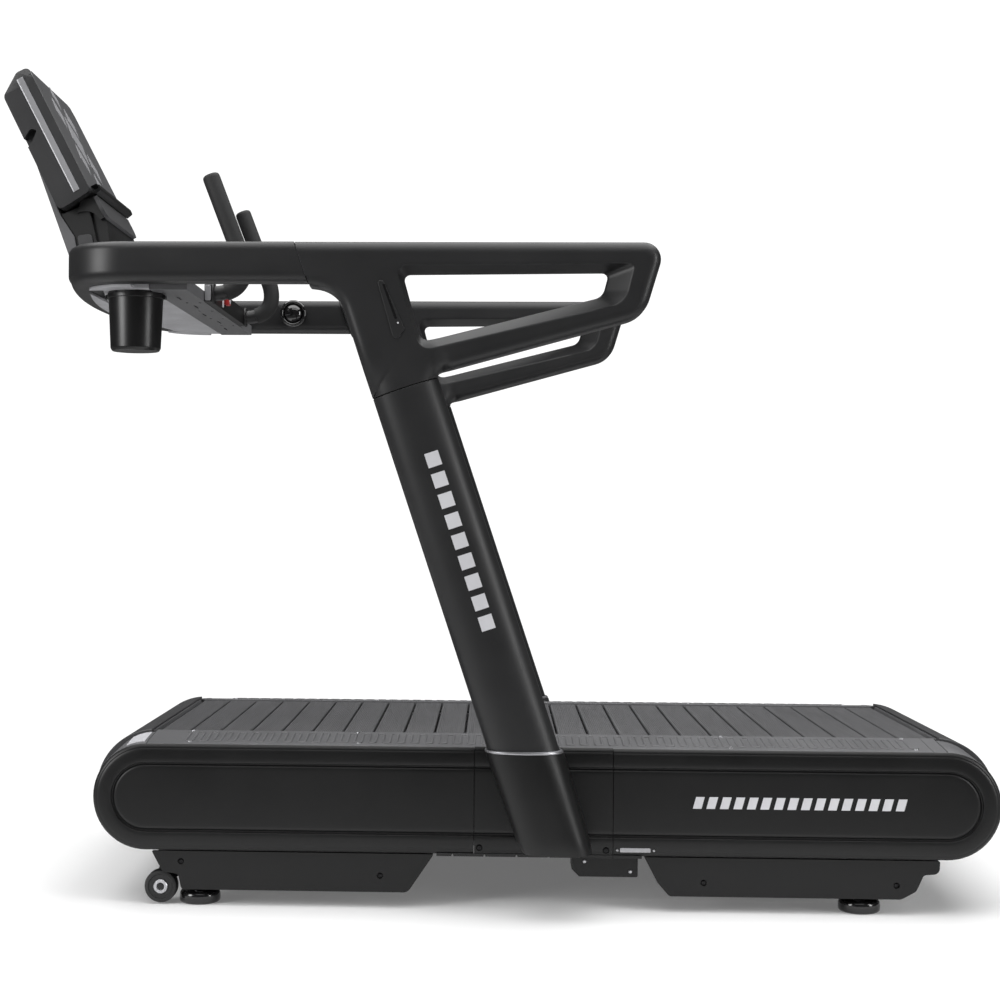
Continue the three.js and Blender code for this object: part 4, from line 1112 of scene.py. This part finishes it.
def dial_knurl(name, centre, levels):
    """Forty fine ridges round a dial, between two levels of Y."""
    points, faces = [], []
    for a in (TAU * k / 40 for k in range(40)):
        p = centre + Vector((math.cos(a), math.sin(a))) * 31.2
        out = (p - centre).normalized()
        turn = Vector((-out.y, out.x)) * 0.6
        n = len(points)
        ridge = (p - out * 0.8 - turn, p + out * 0.5, p - out * 0.8 + turn)
        points += [(q.x, y, q.y) for y in levels for q in ridge]
        faces += [(n, n + 1, n + 2), (n + 3, n + 5, n + 4), (n, n + 3, n + 4, n + 1),
                  (n + 1, n + 4, n + 5, n + 2), (n + 2, n + 5, n + 3, n)]
    return raw(name, points, faces)


def make_safety_key():
    """Red key in the tray's lip, with a light mark, and a blank plate beside it."""
    x = TRAY_HIGH.x
    stem = block("key_stem", (x - 7, -81, 1171.5), (x + 3, -59, 1182.5))
    dressed(stem, "red", body="key", stands_for=["safety_key"], bevel=0.8)
    pull = prism("key_pull", rounded(rectangle(x + 2, x + 11, 1169, 1185, 2, 4, 4, 2), 5), "y", -82, -58)
    dressed(pull, "red", body="key", bevel=2, steps=3)
    mark = rounded(rectangle(-76, -64, 1173, 1181, 2, 2, 2, 2), 3)
    dressed(prism("key_mark", mark, "x", x + 10.6, x + 11.5), "label", body="key", bevel=0.3)
    plate = rounded(rectangle(-104, -88, 1163, 1188, 2, 2, 2, 2), 3)
    dressed(prism("key_plate", plate, "x", x - 0.2, x + 0.8), "label", bevel=0.3)


# ---- console --------------------------------------------------------------------------------
FACE_TOP, FACE_BOTTOM = Vector((-932, 1641)), Vector((-801, 1389))
BACK_TOP, BACK_BOTTOM = Vector((-979, 1577)), Vector((-865, 1348))
UP_FACE = (FACE_TOP - FACE_BOTTOM).normalized()
OFF_FACE = Vector((UP_FACE.y, -UP_FACE.x))
FACE_LENGTH = (FACE_TOP - FACE_BOTTOM).length
CONSOLE_HALF = span("console_housing")[1].y + 9


def on_face(y, along, off):
    """Point given across the console face, up along it and out from it."""
    x, z = FACE_BOTTOM + UP_FACE * along + OFF_FACE * off
    return (x, y, z)


def face_slab(name, outline, low, high):
    """A closed outline in (across, along) on the console face, between two distances out from it."""
    return lofted(name, [[on_face(a, b, off) for a, b in outline] for off in (low, high)])


def face_outline(half, low, high, clip):
    """Outline across the console face, with its two upper corners clipped."""
    return rounded([(-half, low, 10), (half, low, 10), (half, high - clip, 14), (half - clip, high, 24),
                    (clip - half, high, 24), (-half, high - clip, 14)], 6)


def console_wedge(side):
    """Cutter that takes off the console's upper corner on one side."""
    near, far, edge = CONSOLE_HALF - 13, CONSOLE_HALF + 40, FACE_LENGTH
    corners = [(near, edge + 0.5), (near, edge + 40), (far, edge + 40), (far, edge - 110),
               (CONSOLE_HALF + 0.5, edge - 34)]
    return face_slab("wedge", [(side * a, b) for a, b in corners], -120, 40)


def console_notch(side):
    """Cutter for the notch in the console's back edge on one side."""
    notch = BACK_TOP.lerp(BACK_BOTTOM, 0.40)
    way = (BACK_BOTTOM - BACK_TOP).normalized()
    into = Vector((-way.y, way.x))
    line = rounded([(*(notch - into * 8 + way * 16),), (*(notch + into * 12 + way * 5), 9),
                    (*(notch + into * 31 - way * 11), 4), (*(notch + into * 22 - way * 22), 9),
                    (*(notch - into * 8 - way * 2),)], 6)
    return prism("notch", line, "y", *mirrored(side, CONSOLE_HALF - 16, CONSOLE_HALF + 5))


def make_console():
    """Console housing with a recessed overlay and bright strips along its sides."""
    half = CONSOLE_HALF
    profile = rounded([(*FACE_TOP, 12), (-957, 1629, 12), (*BACK_TOP, 16), (*BACK_BOTTOM, 12),
                       (*FACE_BOTTOM, 9)], 6)
    shell = prism("console_shell", profile, "y", -half, half)
    for side in (-1, 1):
        carved(shell, console_wedge(side))
        carved(shell, console_notch(side))
    carved(shell, face_slab("recess", face_outline(half - 4.6, 5.4, FACE_LENGTH - 4.6, 13), -5.4, 20))
    dressed(shell, "shell", stands_for=["console_housing"], bevel=4.5, steps=4, sharp=38)
    overlay = face_slab("screen_overlay", face_outline(half - 6, 6, FACE_LENGTH - 6, 12), -5, 0)
    dressed(overlay, "screen", stands_for=["console_screen"], bevel=1.0)
    make_diamonds()
    low, high = FACE_BOTTOM + UP_FACE * 12, FACE_BOTTOM + UP_FACE * (FACE_LENGTH - 17)
    for name, side in SIDES.items():
        ends = mirrored(side, half - 2.0, half + 1.2)
        for look, near, far in (("trim", 18.6, 30), ("edge", 30.2, 32.2)):
            corners = ((low, far), (low, near), (high, near), (high, far))
            outline = rounded([(*(end - OFF_FACE * deep), 1) for end, deep in corners], 3)
            dressed(prism(f"console_{look}_{name}", outline, "y", *ends), look, bevel=0.5)


def make_diamonds():
    """Plain lighter diamonds printed on the overlay, larger in the middle."""
    cells = [(0, 0, 42, 60), (0, 104, 18, 28), (0, -104, 18, 28)]
    cells += [(y, v, 25, 37) for y in (-52, 52) for v in (-55, 55)]
    for k, (y, v, w, h) in enumerate(cells):
        outline = [(y - w, 150 + v), (y, 150 + v - h), (y + w, 150 + v), (y, 150 + v + h)]
        dressed(face_slab(f"overlay_diamond_{k + 1}", outline, -0.6, 0.7), "diamond", sharp=40)


def make_ledge():
    """Ledge that holds a tablet, its soft mat, and the chin plate curving down below it."""
    def beside(off, along):
        """Point in X and Z, a distance out from the face and along it from its lower edge."""
        return FACE_BOTTOM + OFF_FACE * off + UP_FACE * along

    corners = ((-5, 1, 1), (14, 1.5, 2), (16, 8.5, 1), (18.6, 8, 1.2), (18, -3, 3), (4, -6, 2))
    ledge = rounded([(*beside(off, along), r) for off, along, r in corners], 4)
    dressed(prism("tablet_shelf", ledge, "y", -157.5, 157.5), "cover", stands_for=["tablet_ledge"], bevel=1.4)
    chin = rounded([(-157, -9, 2), (157, -9, 2), (157, -46, 22), (140, -57.5, 30), (-140, -57.5, 30),
                    (-157, -46, 22)], 6)
    dressed(face_slab("chin_plate", chin, -3.6, 3.8), "cover_mid", bevel=1.6, steps=3)
    web = [beside(off, along) for off, along in ((-30, -2), (-4, -8), (-4, -54), (-12, -56))]
    web += bezier(web[-1], beside(-16, -30), beside(-32, -24), beside(-48, -22), 10)[1:]
    dressed(prism("chin_web", web, "y", -152, 152), "gloss_dark", sharp=50)
    mat = face_slab("shelf_mat", rounded(rectangle(-150, 150, 13.4, 14.6, 1, 1, 1, 1), 2), 0.4, 13)
    dressed(mat, "foam", bevel=0.3)


def make_mast():
    """Console mast: a dark core, a web on the runner's side of it, and shaped panels on both sides."""
    low, high = span("console_mast")
    foot = low.z
    outline = rounded([(-933, 1485), (-850, 1258, 20), (-843, foot, 0), (-784, foot, 0), (-812, 1372, 12),
                       (BACK_BOTTOM.x - 1, BACK_BOTTOM.y - 1.5, 0)], 6)
    core = prism("mast_core", outline, "y", low.y + 3, high.y - 3)
    dressed(core, "gloss_dark", stands_for=["console_mast"], bevel=3, steps=3)
    web = [(-808, 1370), (-790, 1356), (-777, 1336), (-770, 1292), (-774, foot + 0.5), (-790, foot + 0.5)]
    dressed(prism("mast_web", [Vector(p) for p in web], "y", -140, 140), "gloss_dark", sharp=40)
    for name, side in SIDES.items():
        ends = mirrored(side, high.y - 4, high.y)
        wedge = rounded([(-930, 1478, 1), (-851, 1262, 14), (-845, foot + 2, 1), (-829, foot + 2, 1),
                         (-840, 1300, 8), (-868, 1342, 4), (-880, 1368, 2)], 4)
        dressed(prism(f"mast_side_{name}", wedge, "y", *ends), "cover_light", bevel=1.2)
        inner = rounded([(-834, 1302, 5), (-805, 1306, 8), (-796, foot + 2, 1), (-824, foot + 2, 1)], 4)
        dressed(prism(f"mast_cheek_{name}", inner, "y", *ends), "cover_mid", bevel=1.2)


# ---- studio ---------------------------------------------------------------------------------
WHITE = (1, 1, 1, 1)
# Strength of the far floor as the camera sees it, and as it lights everything else.
FLOOR_GLOW, FLOOR_FILL = 1.1, 0.15


def make_floor():
    """Pale floor that fades to plain white away from the object."""
    bpy.ops.mesh.primitive_plane_add(size=60, location=(0, 0, 0))
    floor = bpy.context.object
    floor.name = "studio_floor"
    material = bpy.data.materials.new("pale_floor")
    material.use_nodes = True
    nodes, links = material.node_tree.nodes, material.node_tree.links
    diffuse = nodes["Principled BSDF"]
    diffuse.inputs["Base Color"].default_value = (0.86, 0.86, 0.86, 1)
    diffuse.inputs["Roughness"].default_value = 0.9
    diffuse.inputs["Specular IOR Level"].default_value = 0.1
    glow = added(nodes, "ShaderNodeEmission", Color=WHITE)
    soft = added(nodes, "ShaderNodeEmission", Color=WHITE, Strength=0.13)
    coords = added(nodes, "ShaderNodeTexCoord")
    flatten = added(nodes, "ShaderNodeMapping", Scale=(0.75, 1, 1))
    length = added(nodes, "ShaderNodeVectorMath")
    length.operation = "LENGTH"
    fade = added(nodes, "ShaderNodeMapRange", From_Min=0.75, From_Max=2.1)
    fade.interpolation_type = "SMOOTHSTEP"
    mix, lift = added(nodes, "ShaderNodeMixShader"), added(nodes, "ShaderNodeAddShader")
    path = added(nodes, "ShaderNodeLightPath")
    strength = added(nodes, "ShaderNodeMapRange", To_Min=FLOOR_FILL, To_Max=FLOOR_GLOW)
    links.new(path.outputs["Is Camera Ray"], strength.inputs["Value"])
    links.new(strength.outputs["Result"], glow.inputs["Strength"])
    links.new(diffuse.outputs["BSDF"], lift.inputs[0])
    links.new(soft.outputs["Emission"], lift.inputs[1])
    links.new(coords.outputs["Object"], flatten.inputs["Vector"])
    links.new(flatten.outputs["Vector"], length.inputs[0])
    links.new(length.outputs["Value"], fade.inputs["Value"])
    links.new(fade.outputs["Result"], mix.inputs["Fac"])
    links.new(lift.outputs["Shader"], mix.inputs[1])
    links.new(glow.outputs["Emission"], mix.inputs[2])
    links.new(mix.outputs["Shader"], nodes["Material Output"].inputs["Surface"])
    floor.data.materials.append(material)


def make_world():
    """White to the camera, and a dimmer even fill for everything else."""
    world = bpy.data.worlds.new("studio")
    bpy.context.scene.world = world
    world.use_nodes = True
    nodes, links = world.node_tree.nodes, world.node_tree.links
    fill = nodes["Background"]
    fill.inputs["Color"].default_value = WHITE
    fill.inputs["Strength"].default_value = 0.06
    seen = added(nodes, "ShaderNodeBackground", Color=WHITE, Strength=1.1)
    path, mix = added(nodes, "ShaderNodeLightPath"), added(nodes, "ShaderNodeMixShader")
    links.new(path.outputs["Is Camera Ray"], mix.inputs["Fac"])
    links.new(fill.outputs["Background"], mix.inputs[1])
    links.new(seen.outputs["Background"], mix.inputs[2])
    links.new(mix.outputs["Shader"], nodes["World Output"].inputs["Surface"])


def softbox(name, place, target, size, power):
    """Rectangular light at a place, turned to face a target."""
    light = bpy.data.lights.new(name, "AREA")
    light.shape, light.size, light.size_y, light.energy = "RECTANGLE", size[0], size[1], power
    lamp = bpy.data.objects.new(name, light)
    bpy.context.scene.collection.objects.link(lamp)
    lamp.location = place
    lamp.rotation_euler = (Vector(target) - Vector(place)).to_track_quat("-Z", "Y").to_euler()


def make_studio():
    """World, floor and four soft lights."""
    scene = bpy.context.scene
    scene.view_settings.view_transform = "Standard"
    make_world()
    make_floor()
    softbox("overhead", (0, 0, 4.2), (0, 0, 0), (6, 5), 290)
    softbox("rear_strip", (3.6, -2.2, 1.6), (0.1, -0.4, 0.9), (0.9, 2.4), 58)
    softbox("front_strip", (-3.4, -2.6, 1.7), (-0.8, -0.4, 1.1), (1.3, 2.0), 84)
    softbox("near_fill", (0.2, -3.4, 3.9), (0, 0, 0.5), (4, 1.0), 25)


def make_camera():
    """The photograph's viewpoint: almost straight from the runner's left, 0.76 m above the floor."""
    camera = bpy.data.cameras.new("camera")
    camera.lens, camera.sensor_width = 64.44, 36
    camera.shift_x, camera.shift_y = 0.0682, 0.0055
    holder = bpy.data.objects.new("camera", camera)
    bpy.context.scene.collection.objects.link(holder)
    holder.location = (0.016, -3.756, 0.759)
    holder.rotation_euler = (math.radians(90), math.radians(-0.40), math.radians(2.0))
    bpy.context.scene.camera = holder


dress_cad_nodes()
make_belt()
make_side_covers()
make_return_slat_shade()
make_platforms()
end_cover("front_hood", FRONT_X, 94, 232, "front_end_cover")
end_cover("rear_hood", REAR_X, 86, -52, "rear_end_cover")
make_foot_covers()
make_feet_and_wheels()
make_power_inlet()
make_plain_markings()
make_uprights()
for rail_name, rail_side in SIDES.items():
    make_handrail_loop(rail_name, rail_side)
make_front_bar()
make_tray()
make_cup_holder()
make_grips()
make_dials()
make_safety_key()
make_console()
make_ledge()
make_mast()
make_studio()
make_camera()
